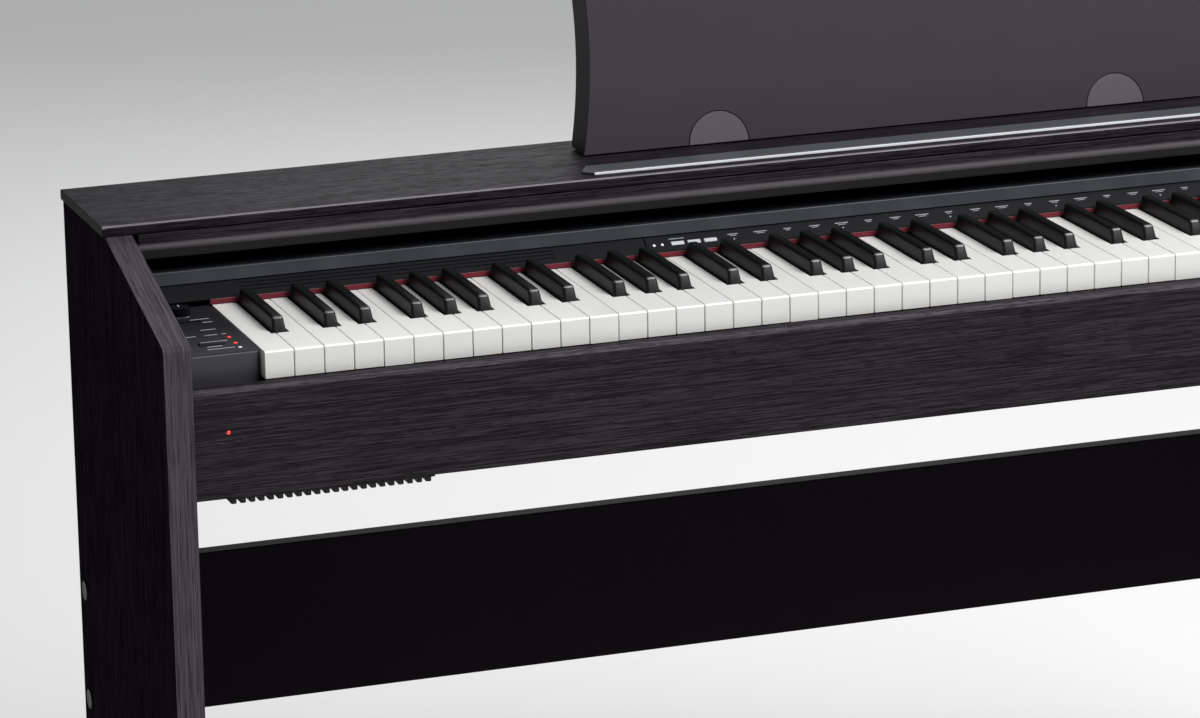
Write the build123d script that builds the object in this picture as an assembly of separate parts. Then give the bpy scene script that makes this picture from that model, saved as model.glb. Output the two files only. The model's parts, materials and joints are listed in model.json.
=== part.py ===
from build123d import *
from math import cos, radians, sin
import os

# Digital piano on a panel stand.  Row frame: origin on the floor under the middle of
# the cabinet, +X to the player's right, +Y away from the player, +Z up.  Millimetres.

# ---- keyboard -----------------------------------------------------------------------
WHITE_KEYS = 52
KEY_PITCH = 23.5            # one white key and its gap
KEY_GAP = 0.9               # between neighbouring keys
KEY_TOP = 728.0             # floor to the playing surface
KEY_REACH = 147.0           # visible length of a white key
KEY_TAIL = 75.0             # hidden length behind the felt
KEY_FACE = 21.4             # height of a white key's front face
KEY_DIP = 10.0              # travel at the key's front edge
HEAD_LENGTH = 49.0          # full-width part of a white key
NECK_DEPTH = 16.0           # depth of a key behind its head
TAIL_DROP = 4.0             # hidden tail's top below the playing surface
BLACK_HEIGHT = 11.5         # black key above the white keys
BLACK_WIDTH = 11.0          # black key at its foot
BLACK_CROWN = 8.8           # black key at its top
BLACK_SLOPE = 6.0           # run of the black key's sloping front
PIVOT_SETBACK = 10.0        # pivot bar in front of the tail's end
PIVOT_DEPTH = 10.0          # pivot bar's centre below the playing surface
PIVOT_RADIUS = 3.0
RUNNING_CLEARANCE = 0.1     # radial, for a bore that turns on a bar
KEY_ROUNDING = 1.5          # front edge of a white key
CHASSIS_DROP = 60.0         # chassis plate below the playing surface
CHASSIS_WALL = 3.0
CHASSIS_END_GAP = 2.0       # beside the outer keys
CHASSIS_TAIL_GAP = 5.0      # behind the key tails
CHEEK_LUG = 12.0            # chassis cheek in front of the pivot bar
STOP_SETBACK = 8.0          # key stop behind the key fronts
STOP_DEPTH = 20.0
FELT_THICKNESS = 3.0
STOP_ROOM = 2.0             # between a pressed key and its felt
RED_FELT_GAP = 0.5
RED_FELT_LIFT = 0.8
NOTES = ["c", "c_sharp", "d", "d_sharp", "e", "f", "f_sharp", "g", "g_sharp", "a", "a_sharp", "b"]
WHITE_NOTES = ["c", "d", "e", "f", "g", "a", "b"]
FIRST_NOTE = "a"
NOTE_COUNT = 88

# ---- cabinet ------------------------------------------------------------------------
DEPTH = 299.0               # front edge to back edge of the side panels
TOP_HEIGHT = 798.0          # floor to the top board's upper face
SIDE_THICKNESS = 22.0
END_BLOCK_WIDTH = 60.0      # between the side panel and the first key
TOP_OVERHANG = 2.0          # top board past the side panels
TOP_THICKNESS = 8.0
CHEEK_LEAD = 16.0           # side panel in front of the white keys
CHEEK_CORNER = 14.0         # front corner of the side panel above the keys
CHEEK_RADIUS = 4.0
TOP_SETBACK = 149.0         # top board's front edge behind the key fronts
SLIP_THICKNESS = 12.0
SLIP_GAP = 2.0              # key slip in front of the key fronts
CASE_DEPTH = 107.0          # underside of the case below the playing surface
KEYBED_THICKNESS = 12.0
BACK_THICKNESS = 4.0
RAIL_THICKNESS = 15.0       # modesty panel and lower stretcher
RAIL_INSET = 12.0           # both rails in front of the cabinet's back
MODESTY_TOP = 493.0
MODESTY_HEIGHT = 131.5
STRETCHER_TOP = 172.0
STRETCHER_HEIGHT = 102.0
GLIDE_HEIGHT = 5.0
GLIDE_RADIUS = 10.0
BOLT_RADIUS = 3.0
BOLT_LENGTH = 50.0
BOLT_CLEARANCE = 0.3
BOLT_HEAD_RADIUS = 5.5
BOLT_HEAD_HEIGHT = 4.0
CAP_RADIUS = 8.0
CAP_THICKNESS = 1.5
MODESTY_BOLTS = (22.0, 114.0)    # below the modesty panel's upper edge
STRETCHER_BOLTS = (25.0, 77.0)   # below the stretcher's upper edge
BOARD_ARRIS = 3.0           # rounding of the top board's front edge
SLIP_BEVEL = (2.0, 2.5)     # front bevel of the key slip: run and drop
SLIP_CROWN = 2.0            # fall of the key slip's upper face
BRACKET_LEG = 25.0
BRACKET_WALL = 2.0
BRACKET_LENGTH = 40.0
BRACKET_INSET = 20.0        # rear bracket in front of the cabinet's back
GLIDE_INSET = 25.0          # glides from the side panel's front and back

# ---- key cover ----------------------------------------------------------------------
COVER_PIVOT_SETBACK = 21.0  # cross shaft in front of the cabinet's back
COVER_PIVOT_DROP = 22.0     # cross shaft below the top board's upper face
COVER_SHAFT_RADIUS = 3.0
REAR_LEAF_THICKNESS = 4.0
FRONT_LEAF_THICKNESS = 5.0
LEAF_GAP = 2.0              # between the two leaves
HANDLE_DEPTH = 13.5
HANDLE_HEIGHT = 15.5
HANDLE_LIP = 5.5
HANDLE_ROUNDING = 8.0       # lower front edge of the rail
HANDLE_SETBACK = 0.5        # behind the top board's front edge
HANDLE_GAP = 1.0            # under the top board
LUG_HALF = 6.0
LUG_WIDTH = 25.0
SHOE_AHEAD = 4.0
SHOE_BEHIND = 13.0
COVER_SIDE_GAP = 3.0        # cover's end to the guide
GUIDE_WIDTH = 6.0
GUIDE_CLEARANCE = 0.3
GUIDE_WALL = 2.0
SHOE_HEIGHT = 8.0

# ---- console ------------------------------------------------------------------------
CONSOLE_LOW = (2.0, 4.3)    # lower edge: behind the felt line, above the keys
CONSOLE_HIGH = (14.5, 14.3)
CONSOLE_THICKNESS = 3.0
STRIP_HEIGHT = 10.6
STRIP_DEPTH = 20.0
STRIP_GAP = 1.0
BUTTON_LENGTH = 11.0
BUTTON_WIDTH = 3.6
BUTTON_PROUD = 1.0
BUTTON_TRAVEL = 1.0
BUTTON_BODY = 5.0           # depth of an end block's button below the block's face
BUTTON_CLEARANCE = 0.3
FIRST_BUTTON = -223.5       # centre of the first console button
BUTTON_SPACING = 14.0
BUTTON_SHARE = 0.46         # how far up the console face the controls stand
BLOCK_BUTTONS = {"rhythm_button": 101.0, "function_button": 36.0}    # behind the key fronts
BLOCK_BUTTON_LENGTH = 20.0
BLOCK_BUTTON_WIDTH = 7.0
GROOVE_LEAD = (25.4, 284.0)              # after the first key's left edge
GROOVE_SHARES = (0.35, 0.57, 0.79)       # how far up the console face
GROOVE_WIDTH = 1.2
GROOVE_DEPTH = 0.8
SEAM_LEAD = 7.0             # upright seam of the console before its first lamp
KNOB_RADIUS = 8.0
KNOB_HEIGHT = 6.0
KNOB_SHAFT = 3.0
KNOB_LIFT = 0.5             # knob above the end block
KNOB_Y = 128.0              # behind the key fronts
LENS_RADIUS = 1.5
LENS_PROUD = 0.4
SLIP_LENS_LEAD = 33.4       # power lamp before the first key
SLIP_LENS_DROP = 55.4       # power lamp below the playing surface
CONSOLE_LENS_LEAD = (367.5, 374.5)       # after the first key's left edge
BLOCK_LIGHTS = (51.0, 33.0, 20.0)        # behind the key fronts
BLOCK_LIGHT_LEAD = 13.0     # before the first key
BLOCK_DEPTH = 30.0
BLOCK_GAP = 1.5             # between an end block and the outer key
BLOCK_SETBACK = 8.0         # end block's front behind the key fronts

# ---- music rest ---------------------------------------------------------------------
REST_CENTRE = 14.7
REST_WIDTH = 585.0
REST_HEIGHT = 208.0
REST_DEPTH = 35.0
REST_WAIST = 11.5           # how far each side curves in
REST_LEAN = 10.0            # degrees back from upright
REST_SETBACK = 73.0         # front of its foot behind the top board's front edge
REST_WALL = 4.0
REST_FOOT_GAP = 1.5
REST_HEEL = 6.0             # rounding of its rear lower edge
REST_BACK_INSET = 0.5       # back plate in from the shell's rear rim
REST_BACK_THICKNESS = 3.0
REST_BACK_GAP = 0.3
PLATE_RADIUS = 25.5
PLATE_SPACING = 352.5
PLATE_THICKNESS = 2.0
TAB_WIDTH = 30.0
TAB_THICKNESS = 6.0
TAB_DEPTH = 9.0
TAB_CLEARANCE = 0.4
LEDGE_SETBACK = 11.0
LEDGE_DEPTH = 25.0
LEDGE_HEIGHT = 2.3
LEDGE_OVERRUN = 21.0        # ledge past the rest's foot at each end
LEDGE_MITRE = 9.0
TRIM_DEPTH = 2.0

# ---- speakers, sockets, pedals -------------------------------------------------------
SPEAKER_RADIUS = 60.0
SPEAKER_OFFSET = 420.0
SPEAKER_DEPTH = 30.0
SPEAKER_SETBACK = 140.0     # centre behind the key fronts
SPEAKER_RIM = 8.0           # flange past the bowl
MAGNET_STEP = 26.0          # magnet's radius less than the flange's
SPEAKER_WALL = 2.0
SPEAKER_FLANGE = 3.0
MAGNET_BASE = 21.0          # above the keybed
CONE_HEIGHT = 12.0
CONE_WALL = 1.5
SLOT_PITCH = 10.0
SLOT_LENGTH = 70.0
SLOT_ROWS = 4               # on each side of the middle slot
JACK_RADIUS = 3.2
JACK_LENGTH = 30.0
JACK_SPACING = 24.0
JACK_DROP = 11.0            # jack centres below the case
SOCKET_BOX = (60.0, 45.0, 22.0)          # width, depth and height
SOCKET_INSET = 40.0         # box centre in from the last key
SOCKET_SETBACK = 4.0        # behind the key fronts
POWER_RADIUS = 2.75
POWER_LENGTH = 11.0
POWER_X = 590.0
POWER_HEIGHT = 45.0         # above the underside of the case
POWER_BOSS_RADIUS = 6.0
POWER_FLANGE = 3.0          # flange past the boss, inside the back
SWITCH_RADIUS = 7.0
SWITCH_Y = 60.0             # behind the key fronts
SWITCH_PROUD = 1.5
BOARD_THICKNESS = 1.6
BOARD_ENDS = (-380.0, 20.0)              # circuit board behind the console's controls
BOARD_DEPTH = 54.0
VENT_PITCH = 7.3
VENT_TEETH = 22
VENT_TOOTH = 4.4            # width of one tooth
VENT_LEAD = 33.0            # comb's start before the first key
VENT_DEPTH = 36.0
VENT_DROP = 5.0
PEDAL_SPACING = 72.0
PEDAL_WIDTH = 24.0
PEDAL_THICKNESS = 4.0
PEDAL_HEIGHT = 78.0
PEDAL_REACH = 84.0          # pedal in front of its box
PEDAL_DIP = 12.0            # travel at the pedal's tip
PEDAL_HUB = 7.0
PEDAL_HUB_INSET = 18.0      # pivot rod in front of the box's back
PEDAL_ROD = 3.0
PEDAL_SIDE_GAP = 2.0
PEDAL_BOX_WIDTH = 300.0
PEDAL_BOX_DEPTH = 78.0
PEDAL_BOX_BASE = 45.0
PEDAL_BOX_HEIGHT = 70.0
PEDAL_BOX_WALL = 3.0
ADJUSTER_RADIUS = 9.0
ADJUSTER_FOOT = 20.0        # radius of its foot
ADJUSTER_FOOT_HEIGHT = 8.0
ADJUSTER_SETBACK = 22.0     # behind the pedal box's front

# ---- derived planes -----------------------------------------------------------------
FRONT = -DEPTH / 2
BACK = DEPTH / 2
KEY_FRONT = FRONT + CHEEK_LEAD
SLIP_BACK = KEY_FRONT - SLIP_GAP
SLIP_FRONT = SLIP_BACK - SLIP_THICKNESS
KEYBOARD = WHITE_KEYS * KEY_PITCH
LEFT_KEY = -KEYBOARD / 2
INNER = KEYBOARD / 2 + END_BLOCK_WIDTH
OUTER = INNER + SIDE_THICKNESS
TOP_UNDER = TOP_HEIGHT - TOP_THICKNESS
TOP_FRONT = KEY_FRONT + TOP_SETBACK
CASE_BASE = KEY_TOP - CASE_DEPTH
FELT_LINE = KEY_FRONT + KEY_REACH
KEY_END = FELT_LINE + KEY_TAIL
PIVOT_Y = KEY_END - PIVOT_SETBACK
PIVOT_Z = KEY_TOP - PIVOT_DEPTH
CHASSIS_BASE = KEY_TOP - CHASSIS_DROP
CHASSIS_END = KEYBOARD / 2 + CHASSIS_END_GAP
STOP_TOP = KEY_TOP - KEY_FACE - KEY_DIP - STOP_ROOM - FELT_THICKNESS
BACK_FACE = BACK - BACK_THICKNESS
RAIL_BACK = BACK - RAIL_INSET
RAIL_FRONT = RAIL_BACK - RAIL_THICKNESS
COVER_Y = BACK - COVER_PIVOT_SETBACK
COVER_Z = TOP_HEIGHT - COVER_PIVOT_DROP
SPEAKER_Y = KEY_FRONT + SPEAKER_SETBACK
SLIP_LENS = (LEFT_KEY - SLIP_LENS_LEAD, KEY_TOP - SLIP_LENS_DROP)
CONSOLE_ANGLE = Vector(1, 0).get_angle(
    Vector(CONSOLE_HIGH[0] - CONSOLE_LOW[0], CONSOLE_HIGH[1] - CONSOLE_LOW[1])
)


def block(x, y, z):
    """A box from its lower and upper limit along each axis."""
    size = [high - low for low, high in (x, y, z)]
    middle = [(high + low) / 2 for low, high in (x, y, z)]
    return Pos(*middle) * Box(*size)


def along_x(points, x0, x1):
    """A straight bar from x0 to x1 whose section is a (y, z) outline."""
    face = make_face(Polyline(*points, close=True))
    return Pos(x0, 0, 0) * extrude(Plane.YZ * face, x1 - x0)


def rod_x(radius, x0, x1, y, z):
    """A round bar along X."""
    return Pos((x0 + x1) / 2, y, z) * Rot(0, 90, 0) * Cylinder(radius, x1 - x0)


def rod_y(radius, x, y0, y1, z):
    """A round bar along Y."""
    return Pos(x, (y0 + y1) / 2, z) * Rot(90, 0, 0) * Cylinder(radius, y1 - y0)


def rod_z(radius, x, y, z0, z1):
    """A round bar along Z."""
    return Pos(x, y, (z0 + z1) / 2) * Cylinder(radius, z1 - z0)


def both_sides(shape):
    """The shape and its mirror image at the other end of the cabinet."""
    return [shape, mirror(shape, Plane.YZ)]


# ---- keys ---------------------------------------------------------------------------
def slot(note):
    """Left and right edge of a note's tail in its octave, counted from the C key."""
    low = NOTES.index("f")
    step = 3 * KEY_PITCH / low if note < low else 4 * KEY_PITCH / (len(NOTES) - low)
    start = note * step if note < low else 3 * KEY_PITCH + (note - low) * step
    return start, start + step


def key_tail(x0, x1, top):
    """The part of a key that runs back to the pivot, with its bore."""
    body = block(
        (x0, x1),
        (KEY_FRONT + HEAD_LENGTH + 1, KEY_END),
        (KEY_TOP - NECK_DEPTH - TAIL_DROP, KEY_TOP - TAIL_DROP),
    )
    if top > KEY_TOP - TAIL_DROP:
        body += block((x0, x1), (KEY_FRONT + HEAD_LENGTH, FELT_LINE + 3),
                      (KEY_TOP - NECK_DEPTH, top))
    return body - rod_x(PIVOT_RADIUS + RUNNING_CLEARANCE, x0 - 1, x1 + 1, PIVOT_Y, PIVOT_Z)


def white_key(left, tail_left, tail_right):
    """One white key: a full-width head and a neck between the black keys."""
    half_gap = KEY_GAP / 2
    head = block(
        (left + half_gap, left + KEY_PITCH - half_gap),
        (KEY_FRONT, KEY_FRONT + HEAD_LENGTH),
        (KEY_TOP - KEY_FACE, KEY_TOP),
    )
    front_edge = head.edges().filter_by(Axis.X).group_by(Axis.Y)[0].sort_by(Axis.Z)[-1]
    head = fillet(front_edge, KEY_ROUNDING)
    return head + key_tail(tail_left + half_gap, tail_right - half_gap, KEY_TOP)


def black_key(centre):
    """One black key: a tapered cap on a flat tail."""
    front, back = KEY_FRONT + HEAD_LENGTH + 1, FELT_LINE - 1
    foot_z, top_z = KEY_TOP - NECK_DEPTH, KEY_TOP + BLACK_HEIGHT
    side = along_x(
        [(front, foot_z), (front, KEY_TOP), (front + BLACK_SLOPE, top_z), (back, top_z),
         (back, foot_z)],
        centre - BLACK_WIDTH / 2, centre + BLACK_WIDTH / 2,
    )
    taper = make_face(Polyline(
        (centre - BLACK_WIDTH / 2, foot_z), (centre + BLACK_WIDTH / 2, foot_z),
        (centre + BLACK_WIDTH / 2, KEY_TOP), (centre + BLACK_CROWN / 2, top_z),
        (centre - BLACK_CROWN / 2, top_z), (centre - BLACK_WIDTH / 2, KEY_TOP), close=True))
    cap = side & Pos(0, back, 0) * extrude(Plane.XZ * taper, back - front)
    return cap + key_tail(centre - BLACK_WIDTH / 2, centre + BLACK_WIDTH / 2, 0)


def keys():
    """All 88 keys, grouped by the note's name."""
    groups = {name: [] for name in NOTES}
    first_white = WHITE_NOTES.index(FIRST_NOTE)
    for number in range(NOTE_COUNT):
        octave, note = divmod(number + NOTES.index(FIRST_NOTE), len(NOTES))
        octave_left = LEFT_KEY + (octave * len(WHITE_NOTES) - first_white) * KEY_PITCH
        tail_left, tail_right = (octave_left + edge for edge in slot(note))
        name = NOTES[note]
        if name in WHITE_NOTES:
            left = octave_left + WHITE_NOTES.index(name) * KEY_PITCH
            if number == 0:
                tail_left = left
            if number == NOTE_COUNT - 1:
                tail_right = left + KEY_PITCH
            groups[name].append(white_key(left, tail_left, tail_right))
        else:
            groups[name].append(black_key((tail_left + tail_right) / 2))
    return {"keys_" + name: solids for name, solids in groups.items()}


def keyboard_frame():
    """The pressed chassis under the keys, its pivot bar and its felts."""
    end_x = CHASSIS_END + CHASSIS_WALL
    front, rear = KEY_FRONT + STOP_SETBACK, KEY_END + CHASSIS_TAIL_GAP
    back = rear + CHASSIS_WALL
    cheek_top = KEY_TOP - TAIL_DROP
    chassis = block((-end_x, end_x), (front - CHASSIS_WALL, back),
                    (CHASSIS_BASE, CHASSIS_BASE + CHASSIS_WALL))
    chassis += block((-end_x, end_x), (front, front + STOP_DEPTH),
                     (CHASSIS_BASE + CHASSIS_WALL, STOP_TOP))
    chassis += block((-end_x, end_x), (rear, back), (CHASSIS_BASE, cheek_top))
    for y in (front, rear):
        chassis += block((-end_x, end_x), (y, y + CHASSIS_WALL),
                         (CASE_BASE + KEYBED_THICKNESS, CHASSIS_BASE + CHASSIS_WALL))
    for side in (-1, 1):
        chassis += block(sorted((side * CHASSIS_END, side * end_x)), (PIVOT_Y - CHEEK_LUG, back),
                         (CHASSIS_BASE, cheek_top))
    bar = rod_x(PIVOT_RADIUS, -end_x, end_x, PIVOT_Y, PIVOT_Z)
    stop_felt = block((-end_x, end_x), (front, front + STOP_DEPTH),
                      (STOP_TOP, STOP_TOP + FELT_THICKNESS))
    red_felt = block((LEFT_KEY - KEY_GAP, -LEFT_KEY + KEY_GAP),
                     (FELT_LINE + RED_FELT_GAP, FELT_LINE + CONSOLE_LOW[0]),
                     (KEY_TOP + RED_FELT_LIFT, KEY_TOP + CONSOLE_LOW[1]))
    return {
        "key_chassis": [chassis - bar],
        "key_pivot_bar": [bar],
        "key_stop_felt": [stop_felt],
        "red_felt_strip": [red_felt],
    }


# ---- cabinet ------------------------------------------------------------------------
BOLT_HEIGHTS = [MODESTY_TOP - drop for drop in MODESTY_BOLTS]
BOLT_HEIGHTS += [STRETCHER_TOP - drop for drop in STRETCHER_BOLTS]
BOLT_Y = RAIL_FRONT + RAIL_THICKNESS / 2


def bolt_hole(x0, x1, z):
    """The clearance hole of one panel bolt."""
    return rod_x(BOLT_RADIUS + BOLT_CLEARANCE, x0, x1, BOLT_Y, z)


def side_panel():
    """The right side panel: upright at the back, sloping down to the keys in front."""
    slope_end = KEY_TOP + CHEEK_CORNER
    outline = [(BACK, GLIDE_HEIGHT), (BACK, TOP_UNDER), (TOP_FRONT + 3, TOP_UNDER),
               (FRONT, slope_end), (FRONT, GLIDE_HEIGHT)]
    panel = along_x(outline, INNER, OUTER)
    corner = panel.edges().filter_by(Axis.X).group_by(Axis.Y)[0].sort_by(Axis.Z)[-1]
    panel = fillet(corner, CHEEK_RADIUS)
    for z in BOLT_HEIGHTS:
        panel -= bolt_hole(INNER - 1, OUTER + 1, z)
        panel -= rod_x(BOLT_HEAD_RADIUS + BOLT_CLEARANCE, OUTER - BOLT_HEAD_HEIGHT, OUTER + 1,
                       BOLT_Y, z)
    return panel


def rail(top, height):
    """A cross rail between the side panels, drilled for its bolts."""
    board = block((-INNER, INNER), (RAIL_FRONT, RAIL_BACK), (top - height, top))
    for z in BOLT_HEIGHTS:
        if top - height < z < top:
            for side in (-1, 1):
                ends = sorted((side * (INNER + 1), side * (OUTER - BOLT_LENGTH)))
                board -= bolt_hole(*ends, z)
    return board


def panel_bolt(z):
    """One panel bolt with its flat head in the side panel's counterbore."""
    shank = rod_x(BOLT_RADIUS, OUTER - BOLT_LENGTH, OUTER - BOLT_HEAD_HEIGHT, BOLT_Y, z)
    head = rod_x(BOLT_HEAD_RADIUS, OUTER - BOLT_HEAD_HEIGHT, OUTER, BOLT_Y, z)
    return shank + head


def screw_cap(z):
    """The round cover over a bolt head."""
    cap = rod_x(CAP_RADIUS, OUTER, OUTER + CAP_THICKNESS, BOLT_Y, z)
    return chamfer(cap.edges().sort_by(Axis.X)[-1], 0.5)


def rest_point(along, behind):
    """A (y, z) point of the music rest: up along its face, and behind its face."""
    lean = radians(REST_LEAN)
    foot_y, foot_z = TOP_FRONT + REST_SETBACK, TOP_HEIGHT + REST_FOOT_GAP
    return (foot_y + along * sin(lean) + behind * cos(lean),
            foot_z + along * cos(lean) - behind * sin(lean))


REST_LIFT = Vector(0, sin(radians(REST_LEAN)), cos(radians(REST_LEAN)))
REST_NORMAL = Vector(0, cos(radians(REST_LEAN)), -sin(radians(REST_LEAN)))
TAB_BEHIND = REST_DEPTH / 2


def rest_tab(x, grow):
    """One tab under the music rest, or its slot when it grows by a clearance."""
    y, z = rest_point(0, TAB_BEHIND)
    plane = Plane(origin=(x, y, z), x_dir=(1, 0, 0), z_dir=REST_LIFT)
    length = TAB_DEPTH + TOP_THICKNESS
    tab = Box(TAB_WIDTH + 2 * grow, TAB_THICKNESS + 2 * grow, length)
    return plane * Pos(0, 0, -length / 2 + TOP_THICKNESS) * tab


def plate_centres():
    """The middle of each bracket plate along X."""
    return [REST_CENTRE + side * PLATE_SPACING / 2 for side in (-1, 1)]


def top_board():
    """The top board with its rounded front edge and the slots for the music rest."""
    edge = OUTER + TOP_OVERHANG
    board = block((-edge, edge), (TOP_FRONT, BACK), (TOP_UNDER, TOP_HEIGHT))
    arris = board.edges().filter_by(Axis.X).group_by(Axis.Y)[0].sort_by(Axis.Z)[-1]
    board = fillet(arris, BOARD_ARRIS)
    for x in plate_centres():
        board -= rest_tab(x, TAB_CLEARANCE)
    return board


def key_slip():
    """The front board under the keys, bevelled along its top."""
    top = KEY_TOP - KEY_FACE
    run, drop = SLIP_BEVEL
    board = along_x([(SLIP_BACK, CASE_BASE), (SLIP_BACK, top), (SLIP_FRONT + run, top - SLIP_CROWN),
                     (SLIP_FRONT, top - SLIP_CROWN - drop), (SLIP_FRONT, CASE_BASE)],
                    -INNER, INNER)
    return board - rod_y(LENS_RADIUS, SLIP_LENS[0], SLIP_FRONT - 1, SLIP_BACK + 1, SLIP_LENS[1])


def keybed():
    """The bottom board, slotted under each speaker."""
    board = block((-INNER, INNER), (SLIP_BACK, BACK_FACE),
                  (CASE_BASE, CASE_BASE + KEYBED_THICKNESS))
    for x in (-SPEAKER_OFFSET, SPEAKER_OFFSET):
        for row in range(-SLOT_ROWS, SLOT_ROWS + 1):
            y = SPEAKER_Y + row * SLOT_PITCH
            board -= block((x - SLOT_LENGTH / 2, x + SLOT_LENGTH / 2),
                           (y - SLOT_PITCH / 4, y + SLOT_PITCH / 4),
                           (CASE_BASE - 1, CASE_BASE + KEYBED_THICKNESS + 1))
    return board


def vent_comb():
    """The row of vent teeth under the front edge of the case."""
    start = LEFT_KEY - VENT_LEAD
    span = (SLIP_FRONT + 1, SLIP_FRONT + 1 + VENT_DEPTH)
    comb = block((start, start + VENT_TEETH * VENT_PITCH), span, (CASE_BASE - 1.5, CASE_BASE))
    for tooth in range(VENT_TEETH):
        x = start + tooth * VENT_PITCH
        comb += block((x, x + VENT_TOOTH), span, (CASE_BASE - VENT_DROP, CASE_BASE))
    return comb


def case_bracket(y):
    """A steel angle that joins the case to the right side panel."""
    span = (y, y + BRACKET_LENGTH)
    upright = block((INNER - BRACKET_WALL, INNER), span, (CASE_BASE - BRACKET_LEG, CASE_BASE))
    flange = block((INNER - BRACKET_LEG, INNER), span, (CASE_BASE - BRACKET_WALL, CASE_BASE))
    return upright + flange


def floor_glide(y):
    """A round plastic glide under the right side panel."""
    middle = (INNER + OUTER) / 2
    disc = rod_z(GLIDE_RADIUS, middle, y, 0, GLIDE_HEIGHT)
    return chamfer(disc.edges().sort_by(Axis.Z)[0], 1.0)


def cabinet():
    """The wooden cabinet, its rails, bolts, caps, brackets and glides."""
    right = side_panel()
    bolts = [part for z in BOLT_HEIGHTS for part in both_sides(panel_bolt(z))]
    caps = [part for z in BOLT_HEIGHTS for part in both_sides(screw_cap(z))]
    brackets = [part for y in (KEY_FRONT + 2, BACK - BRACKET_LENGTH - BRACKET_INSET)
                for part in both_sides(case_bracket(y))]
    glides = [part for y in (FRONT + GLIDE_INSET, BACK - GLIDE_INSET) for part in both_sides(floor_glide(y))]
    back = block((-INNER, INNER), (BACK_FACE, BACK), (CASE_BASE, TOP_UNDER))
    inlet = rod_y(POWER_BOSS_RADIUS, POWER_X, BACK_FACE - 1, BACK + 1, POWER_Z)
    return {
        "left_side_panel": [mirror(right, Plane.YZ)],
        "right_side_panel": [right],
        "top_board": [top_board()],
        "key_slip": [key_slip()],
        "keybed_board": [keybed()],
        "case_back": [back - inlet],
        "modesty_panel": [rail(MODESTY_TOP, MODESTY_HEIGHT)],
        "lower_stretcher": [rail(STRETCHER_TOP, STRETCHER_HEIGHT)],
        "panel_bolts": bolts,
        "bolt_caps": caps,
        "case_brackets": brackets,
        "floor_glides": glides,
        "vent_comb": [vent_comb()],
    }


# ---- key cover ----------------------------------------------------------------------
COVER_END = INNER - GUIDE_WIDTH - COVER_SIDE_GAP
HANDLE_FRONT = TOP_FRONT + HANDLE_SETBACK
HANDLE_BACK = HANDLE_FRONT + HANDLE_DEPTH
HANDLE_TOP = TOP_UNDER - HANDLE_GAP
LEAF_BASE = COVER_Z - 0.5
REAR_LEAF_TOP = LEAF_BASE - LEAF_GAP


def cover_guide():
    """The channel on the right side panel that the cover's shoe slides in."""
    back = BACK_FACE - 2
    half = SHOE_HEIGHT / 2 + GUIDE_CLEARANCE
    web = block((INNER - GUIDE_WIDTH, INNER), (HANDLE_BACK + 1.5, back),
                (COVER_Z - half - GUIDE_WALL, COVER_Z + half + GUIDE_WALL))
    groove = block((INNER - GUIDE_WIDTH - 1, INNER - GUIDE_WALL), (HANDLE_BACK, back + 1),
                   (COVER_Z - half, COVER_Z + half))
    return web - groove


def cover_shoe():
    """The sliding shoe on the right end of the cross shaft."""
    outer = INNER - GUIDE_WALL - GUIDE_CLEARANCE
    half = SHOE_HEIGHT / 2
    shoe = block((COVER_END - 8, outer), (COVER_Y - SHOE_AHEAD, COVER_Y + SHOE_BEHIND),
                 (COVER_Z - half, COVER_Z + half))
    return shoe - rod_x(COVER_SHAFT_RADIUS, COVER_END - 9, outer - 2, COVER_Y, COVER_Z)


def rear_leaf():
    """The rear leaf of the cover, hung on the cross shaft by two lugs."""
    end = COVER_END - 10
    leaf = block((-end, end), (HANDLE_BACK + 2.5, COVER_Y + LUG_HALF),
                 (REAR_LEAF_TOP - REAR_LEAF_THICKNESS, REAR_LEAF_TOP))
    for side in (-1, 1):
        ends = sorted((side * (end - LUG_WIDTH), side * end))
        leaf += block(ends, (COVER_Y - LUG_HALF, COVER_Y + LUG_HALF),
                      (REAR_LEAF_TOP - 1, COVER_Z + LUG_HALF))
        leaf -= rod_x(COVER_SHAFT_RADIUS + RUNNING_CLEARANCE, ends[0] - 1, ends[1] + 1,
                      COVER_Y, COVER_Z)
    relief = rod_x(COVER_SHAFT_RADIUS + 1, -end + LUG_WIDTH, end - LUG_WIDTH, COVER_Y, COVER_Z)
    return leaf - relief


def cover_handle():
    """The rounded rail along the front of the cover, with its finger lip."""
    low = HANDLE_TOP - HANDLE_HEIGHT
    rail_bar = along_x([(HANDLE_FRONT, low), (HANDLE_BACK, low), (HANDLE_BACK, HANDLE_TOP),
                        (HANDLE_FRONT, HANDLE_TOP)], -COVER_END - 5, COVER_END + 5)
    front_low = rail_bar.edges().filter_by(Axis.X).group_by(Axis.Y)[0]
    rail_bar = fillet(front_low.sort_by(Axis.Z)[0], HANDLE_ROUNDING)
    lip = block((-COVER_END - 5, COVER_END + 5), (HANDLE_FRONT + 1.5, HANDLE_FRONT + 5.5),
                (low - HANDLE_LIP, low + 4))
    return rail_bar, lip - rail_bar


def key_cover():
    """The sliding key cover: two telescoping leaves on a cross shaft in side guides."""
    handle, lip = cover_handle()
    leaf = block((-COVER_END, COVER_END), (HANDLE_BACK, COVER_Y - LUG_HALF - 2),
                 (LEAF_BASE, LEAF_BASE + FRONT_LEAF_THICKNESS))
    shaft_end = INNER - GUIDE_WALL - GUIDE_CLEARANCE - 2
    shaft = rod_x(COVER_SHAFT_RADIUS, -shaft_end, shaft_end, COVER_Y, COVER_Z)
    return {
        "cover_guides": both_sides(cover_guide()),
        "cover_carriage": both_sides(cover_shoe()) + [shaft],
        "cover_rear_leaf": [rear_leaf()],
        "cover_front_leaf": [leaf],
        "cover_handle": [handle],
        "cover_finger_lip": [lip],
    }


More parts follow.
